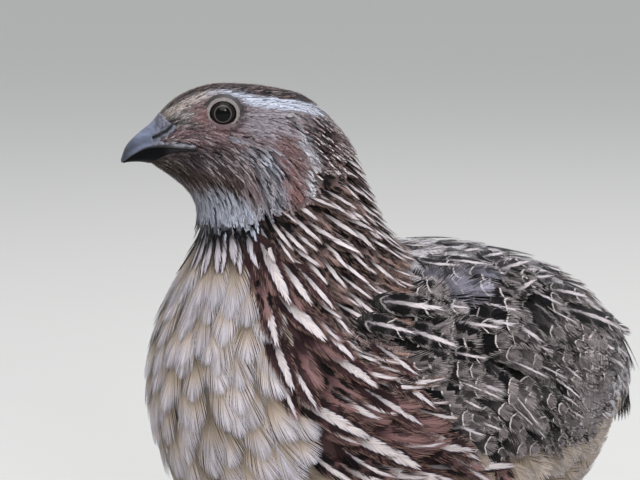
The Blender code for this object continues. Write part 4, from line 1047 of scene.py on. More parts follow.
def face_tone(points):
    """Colours of the head and upper neck, and how much single tufts differ, at points of its surface."""
    tones = palette()
    forward, across, up = to_head(points)
    f = forward + (mottle(forward * 0.9, up * 0.9, 7) - 0.5) * 1.2
    u = up + (mottle(forward * 0.9, up * 0.9, 8) - 0.5) * 1.0
    speck = mottle(forward * 1.5, up * 1.5, 6)
    small = mottle(forward * 2.6, up * 2.6, 4)
    tone = np.zeros((*np.shape(f), 3)) + (0.5 * tones["rufous"] + 0.5 * tones["mauve"])
    contrast = np.full(np.shape(f), 0.3)

    def paint(colour_now, mask, change=None):
        tone[...] = tone + (colour_now - tone) * mask[..., None]
        if change is not None:
            contrast[...] = contrast + (change - contrast) * mask

    # neck behind and below the head
    paint(0.6 * tones["umber"] + 0.4 * tones["tan"], 1 - smooth(f, -19.0, -14.0), 0.5)
    paint(0.5 * tones["umber"] + 0.5 * tones["tan"], 1 - smooth(u, -21.0, -18.0), 0.5)
    # ear, cheek and the brown below the mouth, with its fine pale streaks
    paint(1.15 * tones["mauve"], patch(f, u, (-10.0, -1.6), (7.0, 4.4)), 0.22)
    paint(0.85 * tones["rufous"] + 0.12 * tones["white"], patch(f, u, (7.0, -4.7), (9.5, 2.5)), 0.7)
    paint(0.85 * tones["umber"] + 0.15 * tones["rufous"], patch(f, u, (2.0, -12.2), (11.5, 5.6)), 0.9)
    paint(0.8 * tones["umber"] + 0.2 * tones["mauve"], patch(f, u, (3.5, -10.4), (9.5, 2.6)), 0.8)
    paint(0.62 * tones["olive"], stroke(f, u, ((11.0, -12.6), (7.0, -14.2), (1.5, -16.6), (-3.2, -17.6)), (0.8, 1.6, 1.7, 1.1), 1.4), 0.35)
    paint(tones["olive"], patch(f, u, (13.0, -11.6), (4.5, 1.9)), 0.5)
    side = stroke(f, u, ((-6.6, -9.5), (-8.6, -14.0), (-9.2, -19.0), (-7.0, -23.0)), (2.0, 2.2, 2.2, 1.6), 1.5)
    paint(0.35 * tones["white"] + 0.45 * tones["mauve"], side, 0.7)
    paint(tones["soot"], side * smooth(speck, 0.60, 0.68) * 0.85)
    paint(0.84 * tones["white"], patch(f, u, (1.8, -22.4), (7.4, 4.2)), 0.35)
    paint(tones["soot"], stroke(f, u, ((7.5, -25.6), (3.0, -25.6), (-3.0, -25.2), (-8.5, -24.4)), 1.0, 0.8) * smooth(speck, 0.30, 0.42))
    paint(tones["soot"], (1 - smooth(u, -26.6, -26.0)) * smooth(f, -9.0, -6.0), 0.9)
    paint(0.8 * tones["white"] + 0.15 * tones["mauve"], patch(f, u, (-9.8, -10.6), (2.7, 2.9)), 0.5)
    paint(tones["soot"], patch(f, u, (-9.0, -12.2), (3.4, 3.8)) * smooth(small, 0.58, 0.66) * 0.9)
    # the rufous band behind it and the white collar with its dark patch
    paint(0.9 * tones["rufous"], stroke(f, u, ((-12.2, -5.6), (-13.6, -11.0), (-13.8, -18.5)), (1.2, 1.9, 1.5), 0.9), 0.4)
    paint(0.75 * tones["maroon"] + 0.25 * tones["soot"], patch(f, u, (-20.4, -6.6), (4.0, 5.4)), 0.3)
    paint(tones["soot"], patch(f, u, (-20.7, -6.0), (3.2, 4.4)) * smooth(speck, 0.44, 0.54))
    collar = stroke(f, u, ((-15.6, -3.6), (-16.8, -7.4), (-18.6, -10.4), (-17.9, -14.0), (-16.6, -17.6)), (0.9, 1.1, 1.25, 1.2, 1.0), 0.9)
    paint(0.5 * tones["white"] + 0.42 * tones["cream"], collar * smooth(speck + 0.25 * small, 0.40, 0.52), 0.5)
    # round the eye
    paint(0.42 * tones["ochre"] + 0.28 * tones["white"], patch(f, u, (8.6, -0.5), (4.4, 2.4)), 0.6)
    paint(0.7 * tones["crown"], stroke(f, u, ((13.6, -1.9), (11.0, -1.9), (8.6, -1.5), (6.2, -2.2)), (0.7, 0.5, 0.3, 0.3), 0.6) * 0.85)
    paint(tones["rufous"], patch(f, u, (4.9, 0.2), (1.6, 2.4)), 0.3)
    paint(0.6 * tones["rufous"] + 0.4 * tones["umber"], stroke(f, u, ((5.0, -2.4), (1.5, -4.0), (-2.8, -3.7)), 0.6, 0.8), 0.3)
    paint(tones["soot"], stroke(f, u, ((-0.6, -5.0), (-6.3, -5.7)), 0.35))
    paint(0.6 * tones["white"], stroke(f, u, ((-1.2, -6.1), (-6.0, -6.6)), 0.3))
    paint(0.5 * tones["white"] + 0.5 * tones["ochre"], patch(f, u, (-15.2, -1.2), (1.4, 0.8)))
    paint(tones["soot"], patch(f, u, (-14.8, -2.7), (1.3, 0.7)))
    # brow, crown and the buff line down the middle of the crown
    brow_line = np.array(BROW)[::-1]
    height = np.interp(forward, brow_line[:, 0], brow_line[:, 1])
    top = smooth(up - height, 0.45, 0.95) * smooth(forward, -24.5, -21.5)
    paint(tones["crown"], top, 0.45)
    paint(tones["soot"], top * smooth(speck, 0.55, 0.68) * 0.8)
    paint(tones["tan"], top * smooth(small, 0.70, 0.78) * 0.8)
    paint(tones["ochre"], top * (1 - smooth(np.abs(across), 0.5, 0.9)) * 0.8)
    cold = (1 - smooth(forward, -3.0, 6.0))[..., None]
    warm = 0.55 * tones["cream"] + 0.38 * tones["ochre"]
    brow_tone = warm + (1.2 * tones["white"] - warm) * cold
    paint(brow_tone, stroke(forward, up, BROW, BROW_HALF, 0.5), 0.2)
    paint(0.8 * tones["soot"], stroke(forward, up, ((4.1, 0.9), (3.2, 3.0), (0.2, 4.2), (-2.9, 3.3), (-4.2, 1.2)), 0.22, 0.4) * 0.8)
    # painted shade: black along the mouth's crease behind the bill
    paint(tones["soot"], stroke(forward, up, MOUTH_CREASE, (0.45, 0.4, 0.3, 0.15), 0.3))
    return np.clip(tone, 0, 1), contrast


FACE_FROM = 15.0  # row place where the head's fine feathers begin
FACE_TO = 23.2
BODY_FROM = 1.0


def past_edge(points):
    """How far points of the head lie in front of the bill's feather edge."""
    forward, _, up = to_head(points)
    edge = np.array(FEATHER_EDGE)
    return forward - np.interp(up, edge[:, 1], edge[:, 0])


def face_gap(t, a):
    """Distance between the head's tufts, smallest round the bill and the eyes."""
    reach, _ = from_eye_axis(body(t, a, 0.0))
    gap = np.interp(t, (15.0, 16.0, 18.0, 20.0, 22.0), (0.86, 0.66, 0.54, 0.50, 0.42))
    return gap * (0.74 + 0.26 * smooth(reach, 4.0, 8.0))


def grow_face(rng, fray):
    """The head's small feathers, none of them over the eyes or the bill."""
    t, a = scatter(rng, (FACE_FROM - 0.2, FACE_TO), face_gap, 90000)
    root = body(t, a, 0.0)
    reach, _ = from_eye_axis(root)
    forward, _, up = to_head(root)
    fit = (past_edge(root) < 0.10) & (reach > 3.15) & (t + (mottle(a * 6, t * 2, 9) - 0.5) * 0.8 > FACE_FROM)
    t, a, forward, up = t[fit], a[fit], forward[fit], up[fit]
    size = np.interp(t, (15.0, 16.0, 18.0, 20.0, 21.5, 23.0), (3.4, 4.8, 4.4, 3.5, 2.4, 1.6))
    size = size * np.clip(rng.normal(1, 0.14, len(t)), 0.65, 1.35)
    down = patch(forward, up, (3.0, -11.5), (13.0, 7.0), 0.5) - 0.6 * patch(forward, up, (-6.0, 3.0), (8.0, 3.5), 0.5)
    heading = np.radians(3 - 14 * down) + rng.normal(0, 0.10, len(t))
    size = size * (1 + 0.5 * np.clip(down, 0, 1))
    # feathers in front of an eye stop at its lids
    for _ in range(3):
        lines = march(body, t, a, heading, size, 5, 0 * t, (BODY_FROM, LAST))
        apart = from_eye_axis(lines[4])[0].min(axis=1)
        size = np.where(apart < 3.25, size * 0.6, size)
    fit = (apart > 3.08) & (size > 0.4)
    t, a, size = t[fit], a[fit], size[fit]
    tt, aa, st, sa, centre = (values[fit] for values in lines)
    wide = np.interp(t, (15.0, 16.0, 18.0, 20.0, 22.0), (1.35, 0.95, 0.74, 0.64, 0.52)) * np.minimum(1, size / 1.4 + 0.3)
    wide = wide * (1 - 0.3 * np.clip(down[fit], 0, 1))
    along = np.linspace(0, 1, tt.shape[1])
    depth = bpy.context.scene.quail_sizes.face_depth
    rise = np.interp(t, (15.0, 17.0, 22.0), (0.5, 0.22, 0.06))[:, None]
    deep = np.interp(t, (15.0, 16.5, 22.0), (1.2, depth, depth * 0.6))[:, None]
    lifts = -deep + (rise + deep) * along**0.8 + rng.normal(0, 0.07, (len(t), 1)) * along
    n = len(t)
    tones = palette()
    at_root, _ = face_tone(centre[:, 1])
    at_end, contrast = face_tone(centre[:, -1])
    # single tufts paler or darker, which draws the face's fine streaks
    pick = rng.random(n)
    pale = np.clip((pick - 0.72) / 0.08, 0, 1) * contrast
    dark = np.clip((0.40 - pick) / 0.12, 0, 1) * contrast
    light = 0.5 * tones["cream"] + 0.5 * tones["mauve"]

    def varied(tone):
        tone = tone + (light - tone) * (0.75 * pale)[:, None]
        return np.clip(tone * (1 - 0.62 * dark)[:, None] * (1 + rng.normal(0, 0.06, (n, 1))), 0, 1)

    streaked = (rng.random(n) < 0.30) & (to_head(centre[:, 0])[0] < -16)
    looks = {
        # the tufts' roots a little darker, painted shade under the tufts above
        "root": varied(at_root * 0.85),
        "end": varied(at_end),
        "streak": np.concatenate([np.tile(tones["cream"], (n, 1)), (0.36 * streaked)[:, None]], axis=1),
        "rim": np.concatenate([np.tile(tones["white"], (n, 1)), np.zeros((n, 1))], axis=1),
        "marks": np.concatenate([np.zeros((n, 3)), rng.random((n, 1))], axis=1),
    }
    batches = []
    for piece in (t < 17.4, t >= 17.4):
        spec = {"length": size[piece], "width": wide[piece], "barbs": 4, "tip": 0.7, "fray": 2.0 * fray, "camber": 0.05,
                "fade": (0.25, 0.85), "angle": (24, 17), "turn": 0.9, "cover": 0.62}
        lines = on_surface(body, *(values[piece] for values in (tt, aa, st, sa, lifts)))
        batches.append(vanes(rng, lines, spec, {key: values[piece] for key, values in looks.items()}))
    return batches


def skin_depth(t, a):
    """How far the skin lies under the outline."""
    sizes = bpy.context.scene.quail_sizes
    deep = np.interp(t, (0.0, 2.0, 12.0, 15.0, 17.0, 20.0), (1.0, 1, 1, 0.75, 0, 0))
    face = sizes.face_depth * np.interp(t, (15.0, 20.0, 22.0), (1.6, 1.0, 0.7))
    return deep * sizes.coat_depth + (1 - deep) * face


def shaded_skin_tone(points, t, a):
    """The skin's colours: the coat's own, darkened as painted shade in the gaps between the feathers."""
    tones = palette()
    kind = plume_kind(t, a)
    ends = np.array([0.35 * tones[PLUMES[name]["root"]] + 0.65 * tones[PLUMES[name]["end"]] for name in PLUME_NAMES])
    coat = ends[kind] * 0.4
    face = face_tone(points)[0] * 0.7
    share_of_face = smooth(t, FACE_FROM - 0.3, FACE_FROM + 0.3)[..., None]
    return coat + (face - coat) * share_of_face


SKIN_SIDES = 144
SKIN_END = 23.6


def build_skin():
    """One closed skin from the tail's end to inside the bill, under the whole coat."""
    t = np.concatenate([np.linspace(0.02, 15, 150)[:-1], np.linspace(15, SKIN_END, 130)])
    a = np.arange(SKIN_SIDES) * 2 * math.pi / SKIN_SIDES - math.pi
    tt, aa = np.meshgrid(t, a, indexing="ij")
    lift = -skin_depth(tt, aa) + wing_swell(tt, aa) * 0.8
    outline_points = body(tt, aa, 0.0)
    lift = lift - 1.1 * smooth(past_edge(outline_points), -0.15, 0.35)
    # the mouth's crease behind the bill
    forward, across, up = to_head(outline_points)
    crease = stroke(forward, up, MOUTH_CREASE, (0.3, 0.3, 0.2, 0.1), 0.4) * (np.abs(across) > 2)
    points = body(tt, aa, lift - 0.4 * crease)
    tone = shaded_skin_tone(outline_points, tt, aa)
    flat, quads, fans = closed_tube(points)
    corners, starts = flat_faces(quads, fans)
    colours = np.ones((len(flat), 4))
    colours[: tone.size // 3, :3] = tone.reshape(-1, 3)
    colours[-2:, :3] = tone[0, 0], tone[-1, 0]
    ring, spot = np.meshgrid(np.arange(len(t) - 1), np.arange(SKIN_SIDES), indexing="ij")
    ring, spot = ring.reshape(-1, 1), spot.reshape(-1, 1)
    quad_uv = np.stack([(spot + [0, 0, 1, 1]) / SKIN_SIDES, t[ring + [0, 1, 1, 0]] / LAST], axis=-1)
    j = np.arange(SKIN_SIDES)
    low = np.stack([np.stack([(j + 0.5), j, j + 1], 1) / SKIN_SIDES, np.tile((0.0, t[0], t[0]), (len(j), 1)) / LAST], -1)
    high = np.stack([np.stack([(j + 0.5), j + 1, j], 1) / SKIN_SIDES, np.tile((t[-1] + 0.3, t[-1], t[-1]), (len(j), 1)) / LAST], -1)
    uv = np.concatenate([quad_uv.reshape(-1, 2), low.reshape(-1, 2), high.reshape(-1, 2)])
    obj = mesh_from("skin", flat, corners, starts, {"ground": colours}, uv, skin_material("skin"))
    return settle(obj, "feathers", "torso", "neck", "head")


# Which kinds of plumage are joined in one piece
COAT_PIECES = {
    "coat_belly": ("belly", "vent"),
    "coat_breast": ("breast", "breast_side"),
    "coat_bib": ("bib", "necklace"),
    "coat_flanks": ("flank", "flank_low", "flank_upper"),
    "coat_neck": ("neck", "ruff"),
    "coat_nape": ("nape", "shoulder"),
    "coat_back": ("mantle", "back"),
    "coat_rump": ("rump", "rump_side"),
    "coverts_upper": ("covert_block", "covert_blue", "covert_dark"),
    "coverts_lower": ("covert_scale", "covert_loose"),
}


def build_body_coat():
    """All the body's feathers, sorted by kind into a few pieces."""
    sizes = bpy.context.scene.quail_sizes
    rng = np.random.default_rng(SEED + 1)
    t, a = scatter(rng, (BODY_FROM, FACE_FROM + 0.25), lambda t, a: by_kind(plume_kind(t, a), "spacing"), 60000)
    # a feather looks like the place that its visible end covers
    reach = by_kind(plume_kind(t, a), "length") * 0.6
    seen = march(body, t, a, body_heading(t, a), reach, 4, 0 * t, (0.05, LAST))
    kind = plume_kind(seen[0][:, -1], seen[1][:, -1])
    material = feather_material("body feathers", 0.72, 0.08)
    for piece, names in COAT_PIECES.items():
        batches = []
        for name in names:
            index = PLUME_NAMES.index(name)
            here = kind == index
            if here.any():
                batches.append(grow_body(rng, t[here], a[here], index, sizes.feather_length, sizes.fray))
        if piece == "coat_flanks":
            for side in (1, -1):
                batches.append(placed_batch(rng, "flank_streak", FLANK_STREAKS, side, sizes.fray, -0.8, 1.9 if side > 0 else 0.6))
        slot = "breast_feathers" if piece in ("coat_breast", "coat_belly", "coat_bib") else "feathers"
        coat_object(piece, batches, material, slot)


# Flight feathers: how many, the first and last root and the first and last tip as row place and
# angle, the width, how far root and tip stand off the body, and the barbs
WING_TIERS = {
    "primary": (6, (7.94, 90), (6.97, 76), (5.46, 98), (5.07, 82), 8.0, (0.8, 1.4), 34),
    "secondary": (6, (8.30, 84), (6.87, 56), (5.63, 90), (5.21, 62), 9.0, (1.0, 1.9), 34),
}
# How each tier looks: root, end, streak and its share, rim and its strength, blotch, bars, waves
WING_LOOKS = {
    "primary": ("soot", "earth", ("buff", 0.0), ("buff", 1.2), 0.0, 0.4, 0.6),
    "secondary": ("soot", "earth", ("cream", 0.0), ("cream", 1.3), 0.1, 0.5, 0.9),
    "scapular": ("soot", "earth", ("cream", 1.0), ("cream", 0.2), 0.9, 0.7, 0.5),
    "lancet": ("soot", "earth", ("cream", 1.0), ("cream", 0.1), 0.3, 0.1, 0.3),
    "flank_streak": ("maroon", "maroon", ("cream", 1.0), ("russet", 0.5), 0.55, 0.0, 0.1),
    "tail_feather": ("soot", "umber", ("cream", 0.05), ("buff", 1.4), 0.1, 0.8, 0.6),
    "tail_covert": ("soot", "umber", ("cream", 0.15), ("ochre", 1.4), 0.9, 0.3, 0.6),
}
# Streaked feathers with their own places on the side: where the streak begins and ends, as row
# place and angle, the feather's width and the streak's half width as a share of it
SCAPULARS = (
    ((11.24, 72), (9.58, 56), 6.6, 0.15),
    ((10.20, 56), (8.78, 53), 6.4, 0.15),
    ((11.35, 81), (10.40, 70), 6.0, 0.15),
    ((10.43, 70), (9.10, 66), 6.4, 0.15),
    ((9.10, 57), (7.95, 60), 5.0, 0.16),
    ((8.99, 67), (8.30, 69), 4.0, 0.13),
    ((9.60, 28), (8.12, 32), 6.4, 0.12),
    ((8.26, 25), (7.54, 32), 6.0, 0.16),
    ((7.92, 33), (7.46, 40), 6.2, 0.18),
    ((7.24, 22), (6.75, 19), 6.4, 0.16),
    ((7.34, 34), (6.37, 23), 6.6, 0.15),
    ((6.92, 39), (6.28, 36), 6.0, 0.12),
    ((7.34, 46), (6.86, 42), 5.6, 0.14),
    ((6.41, 43), (5.73, 46), 6.2, 0.14),
    ((6.26, 52), (4.62, 60), 6.6, 0.12),
    ((4.98, 52), (3.12, 49), 6.0, 0.14),
    ((5.97, 21), (5.62, 24), 6.0, 0.15),
    ((9.30, 10), (8.40, 14), 6.0, 0.13),
    ((7.60, 8), (6.80, 8), 6.0, 0.14),
    ((6.50, 7), (5.80, 8), 6.0, 0.14),
)
LANCETS = (
    ((8.78, 75), (8.28, 78), 3.0, 0.14),
    ((7.99, 73), (7.03, 91), 3.4, 0.12),
    ((8.19, 86), (7.77, 89), 3.0, 0.14),
    ((8.76, 75), (7.85, 81), 3.4, 0.12),
    ((8.59, 80), (8.23, 83), 3.0, 0.14),
    ((7.74, 69), (6.95, 77), 3.6, 0.14),
    ((7.81, 80), (6.88, 94), 3.2, 0.12),
    ((5.53, 65), (5.17, 69), 4.2, 0.18),
    ((5.37, 72), (4.31, 82), 4.4, 0.18),
)
# the flank's large streaked feathers
FLANK_STREAKS = (
    ((13.97, 122), (12.62, 113), 6.4, 0.30),
    ((12.64, 117), (11.75, 100), 6.0, 0.26),
    ((11.47, 101), (10.45, 89), 6.4, 0.26),
    ((12.84, 126), (12.05, 122), 6.0, 0.26),
    ((12.15, 124), (11.35, 119), 6.4, 0.24),
    ((11.80, 119), (10.90, 112), 6.0, 0.14),
    ((11.14, 120), (10.00, 101), 7.4, 0.30),
    ((10.23, 106), (9.38, 99), 6.6, 0.26),
    ((11.89, 99), (11.14, 91), 5.6, 0.20),
    ((10.05, 96), (8.00, 97), 7.0, 0.24),
    ((10.43, 92), (9.29, 89), 6.0, 0.22),
    ((9.94, 103), (8.90, 100), 7.0, 0.26),
    ((10.83, 81), (9.89, 79), 5.4, 0.17),
    ((10.51, 85), (9.21, 84), 5.4, 0.17),
    ((9.60, 110), (8.20, 104), 7.4, 0.24),
    ((8.60, 101), (7.30, 101), 7.0, 0.22),
    ((13.30, 112), (12.40, 102), 5.0, 0.20),
    ((13.00, 103), (12.10, 92), 4.8, 0.18),
)


def tier_looks(rng, name, n):
    """Colour arrays for flight feathers, coverts and scapulars."""
    tones = palette()
    root, end, (streak, part), (rim, strength), blotch, bars, waves = WING_LOOKS[name]
    level = rng.normal(1, 0.09, (n, 1))
    marks = np.clip(np.array([blotch, bars, waves]) * rng.normal(1, 0.25, (n, 3)), 0, 1)
    return {
        "root": np.clip(tones[root] * level, 0, 1),
        "end": np.clip(tones[end] * level, 0, 1),
        "streak": np.concatenate([np.tile(tones[streak], (n, 1)), part * rng.normal(1, 0.15, (n, 1))], axis=1),
        "rim": np.concatenate([np.tile(tones[rim], (n, 1)), np.full((n, 1), strength)], axis=1),
        "marks": np.concatenate([marks, rng.random((n, 1))], axis=1),
    }


def side_lines(root, tip, lifts, side):
    """Straight lines over the bird's side between places given as row place and angle."""
    along = np.linspace(0, 1, 12)
    t = root[:, :1] + (tip[:, :1] - root[:, :1]) * along
    degrees = root[:, 1:] + (tip[:, 1:] - root[:, 1:]) * along
    a = np.radians(degrees) * side
    lift = lifts[:, :1] + (lifts[:, 1:] - lifts[:, :1]) * along
    # moved so that each line runs straight from root to tip
    ends = body(t[:, [0, -1]], a[:, [0, -1]], lift[:, [0, -1]])
    for _ in range(5):
        straight = ends[:, :1] + (ends[:, 1:] - ends[:, :1]) * along[None, :, None]
        eps = 0.01
        pt = (body(t + eps, a, lift) - body(t - eps, a, lift)) / (2 * eps)
        pa = (body(t, a + eps, lift) - body(t, a - eps, lift)) / (2 * eps)
        dt, da = solved(pt, pa, straight - body(t, a, lift))
        t, a = t + dt, a + da
    centre = body(t, a, lift)
    ahead = np.gradient(centre, axis=1)
    ahead /= np.linalg.norm(ahead, axis=2, keepdims=True)
    eps = 0.01
    pt = (body(t + eps, a, 0.0) - body(t - eps, a, 0.0)) / (2 * eps)
    pa = (body(t, a + eps, 0.0) - body(t, a - eps, 0.0)) / (2 * eps)
    normal = np.cross(pt, pa)
    normal /= np.linalg.norm(normal, axis=2, keepdims=True)
    aside = np.cross(normal, ahead)
    st, sa = solved(pt, pa, aside)
    reach = np.linalg.norm(np.diff(centre, axis=1), axis=2).sum(axis=1)
    return on_surface(body, t, a, st, sa, lift), reach


def wing_batch(rng, name, root, tip, width, lifts, barbs, side, fray, streaks=1.0):
    """One tier of feathers on the bird's side as a batch of vanes."""
    n = len(root)
    lines, reach = side_lines(root, tip, lifts, side)
    pointed = {"lancet": 0.8, "scapular": 0.35, "flank_streak": 0.5}.get(name, 0.12)
    spec = {"length": reach, "width": np.full(n, width) if np.isscalar(width) else width, "barbs": barbs, "tip": pointed,
            "fray": 0.9 * fray, "camber": 0.05, "fade": (0.1, 0.4), "angle": (36, 30), "turn": 1.0}
    looks = tier_looks(rng, name, n)
    looks["streak"][:, 3] *= streaks
    return vanes(rng, lines, spec, looks)


def placed_batch(rng, name, table, side, fray, raise_root, raise_tip):
    """Feathers whose streaks have their own places, as a batch of vanes."""
    first, last = (np.array([row[k] for row in table], float) for k in (0, 1))
    width, share_of = (np.array([row[k] for row in table]) for k in (2, 3))
    root, tip = first - 0.28 * (last - first), last + 0.04 * (last - first)
    over = wing_swell(tip[:, 0], np.radians(tip[:, 1]))
    under = wing_swell(root[:, 0], np.radians(root[:, 1]))
    low = 0.3 + 0.7 * smooth(tip[:, 1], 24, 46)
    raised = np.stack([under * 0.8 + raise_root * low, over * 0.9 + raise_tip * low], axis=1)
    return wing_batch(rng, name, root, tip, width, raised, 30, side, fray, share_of)


def build_wing(side, word, material):
    """One folded wing: flight feathers, coverts and scapulars."""
    fray = bpy.context.scene.quail_sizes.fray
    rng = np.random.default_rng(SEED + 5 + side)
    batches = []
    for name, (count, root0, root1, tip0, tip1, width, lifts, barbs) in WING_TIERS.items():
        t = np.linspace(0, 1, count)[:, None]
        root = np.array(root0) + (np.array(root1) - np.array(root0)) * t + rng.normal(0, 0.5, (count, 2)) * (0.06, 1)
        tip = np.array(tip0) + (np.array(tip1) - np.array(tip0)) * t + rng.normal(0, 0.8, (count, 2)) * (0.06, 1)
        raised = np.tile(lifts, (count, 1)) * (0.5 + 0.5 * smooth(t, 0.0, 0.4)) + rng.normal(0, 0.08, (count, 1))
        batches.append(wing_batch(rng, name, root, tip, width, raised, barbs, side, fray))
    batches.append(placed_batch(rng, "scapular", SCAPULARS, side, fray, 0.2, 2.6))
    batches.append(placed_batch(rng, "lancet", LANCETS, side, fray, 0.2, 2.0))
    coat_object(f"wing_feathers_{word}", batches, material, "flight_feathers", (f"wing_{word}",))


# The tail's tiers: how many, length, width, droop, spread, lift, root x and z, barbs
TAIL_TIERS = {
    "tail_feather": (11, 32.0, 6.6, math.radians(98), math.radians(15), 1.6, -57.5, 88.5, 34),
    "tail_covert": (9, 23.0, 6.4, math.radians(78), math.radians(26), 2.4, -53.5, 92.0, 24),
}
TAIL_ARCH = 1.8
TAIL_STACK = 2.4
TAIL_ROOTS_APART = 16.0
DROOP_AT_ROOT = 0.55
OUTER_DROOP = 0.5
OUTER_SHORTER = 0.12


def build_tail():
    """The short drooping tail, its feathers arched like a roof, with its coverts."""
    fray = bpy.context.scene.quail_sizes.fray
    rng = np.random.default_rng(SEED + 9)
    batches = []
    for name, (count, reach, width, droop, spread, lift, x, z, barbs) in TAIL_TIERS.items():
        out = np.linspace(-1, 1, count)[:, None] * spread + rng.normal(0, 0.01, (count, 1))
        outer = np.abs(out) / spread
        size = reach * (1 - OUTER_SHORTER * outer)
        along = np.linspace(0, 1, 13)[None, :]
        down = (droop + np.abs(out) * OUTER_DROOP) * (DROOP_AT_ROOT + (1 - DROOP_AT_ROOT) * along)
        ahead = np.stack([-np.cos(down) * np.cos(out), np.sin(out) + 0 * down, -np.sin(down) * np.cos(out)], axis=-1)
        start = np.stack([0 * out + x, out * TAIL_ROOTS_APART, 0 * out + z], axis=-1)
        steps = np.cumsum(ahead[:, :-1] * size[..., None] / 12, axis=1)
        centre = np.concatenate([start, start + steps], axis=1)
        upward = np.stack([-np.sin(down), 0 * down, np.cos(down)], axis=-1)
        flat = np.cross(upward, ahead)
        flat /= np.linalg.norm(flat, axis=-1, keepdims=True)
        normal = np.cross(ahead, flat)
        roll = (out * TAIL_ARCH)[..., None]
        facing = normal * np.cos(roll) - flat * np.sin(roll)
        across = flat * np.cos(roll) + normal * np.sin(roll)
        lifts = (lift - outer * TAIL_STACK) + 0 * down
        root_uv = np.stack([0.5 + out[:, 0] / (2 * math.pi), np.full(count, 3.4 / LAST)], axis=1)
        spec = {"length": size[:, 0], "width": np.full(count, width), "barbs": barbs, "tip": 0.15,
                "fray": 0.7 * fray, "camber": 0.05, "fade": (0.1, 0.5)}
        batches.append(vanes(rng, in_space(centre, across, facing, lifts, root_uv), spec, tier_looks(rng, name, count)))
    coat_object("tail_feathers", batches, feather_material("tail feathers", 0.6, 0.08), "flight_feathers", ("tail",))


# Legs
HIP = (-2.0, 17.0, 58.0)
HOCK = (-13.0, 17.5, 33.0)
ANKLE = (-4.0, 18.0, 4.9)
THIGH_RADII = (12.0, 3.4)
TOES = {"inner": (19.0, -32.0, 1.7), "middle": (25.0, 2.0, 1.8), "outer": (20.0, 34.0, 1.7), "hind": (8.0, 172.0, 1.3)}


def thigh_radius(along):
    return THIGH_RADII[0] + (THIGH_RADII[1] - THIGH_RADII[0]) * along**0.8


def build_thigh(side, word, material):
    """The feathered lower thigh: its skin and the loose feathers that end at the hock."""
    tones = palette()
    rng = np.random.default_rng(SEED + 20 + side)
    hip, hock = (np.array(p) * (1, side, 1) for p in (HIP, HOCK))
    along = np.linspace(0, 1, 14)
    rings = tube_rings(hip + (hock - hip) * along[:, None], thigh_radius(along) - 1.6, 28)
    points, quads, fans = closed_tube(rings)
    corners, starts = flat_faces(quads[:, ::-1], fans[:, ::-1])
    ground = np.ones((len(points), 4))
    # the skin under the thigh feathers: the belly's colour darkened, painted shade between the feathers
    ground[:, :3] = tones["belly"] * 0.6
    uv = np.stack([0.2 + 0 * points[:, 0], 0.1 + 0.001 * points[:, 2]], axis=1)
    skin = mesh_from(f"thigh_skin_{word}", points, corners, starts, {"ground": ground}, uv, bpy.data.materials["skin"])
    settle(skin, "breast_feathers", f"thigh_{word}")
    axis = (hock - hip) / np.linalg.norm(hock - hip)
    first = np.cross(axis, (0.0, 1.0, 0.0))
    first /= np.linalg.norm(first)
    second = np.cross(axis, first)
    start, round_at = [], []
    for level in np.linspace(0.1, 0.8, 9):
        count = int(2 * math.pi * thigh_radius(level) / 2.6)
        turn = (np.arange(count) + rng.random()) * 2 * math.pi / count
        round_at.append(turn)
        start.append(np.full(count, level))
    start, round_at = np.concatenate(start), np.concatenate(round_at)
    n = len(start)
    size = (10.5 - 3.4 * start) * rng.normal(1, 0.16, n)
    steps = np.linspace(0, 1, 8)
    reach = 1.0 + 0.14 * rng.random(n)[:, None]
    place = np.minimum(start[:, None] + size[:, None] / 27.3 * steps, reach)
    radial = np.cos(round_at)[:, None] * first + np.sin(round_at)[:, None] * second
    centre = hip + (hock - hip) * place[..., None] + radial[:, None, :] * thigh_radius(np.minimum(place, 1.0))[..., None]
    normal = np.broadcast_to(radial[:, None, :], centre.shape)
    across = np.broadcast_to(np.cross(radial, axis)[:, None, :], centre.shape)
    lifts = -1.2 + 1.5 * steps + 0 * place
    root_uv = np.stack([0.2 + round_at / 60, 0.1 + start * 0.05], axis=1)
    looks = looks_of(rng, ["belly"] * n)
    spec = {"length": size, "width": 4.6 - 1.8 * start, "barbs": 10, "tip": 0.3, "fray": 1.0, "camber": 0.08}
    batch = vanes(rng, in_space(centre, across, normal, lifts, root_uv), spec, looks)
    coat_object(f"thigh_feathers_{word}", [batch], material, "breast_feathers")


# Geometry Nodes: flattened beads on points, for the scutes of the legs and the rims of the lids


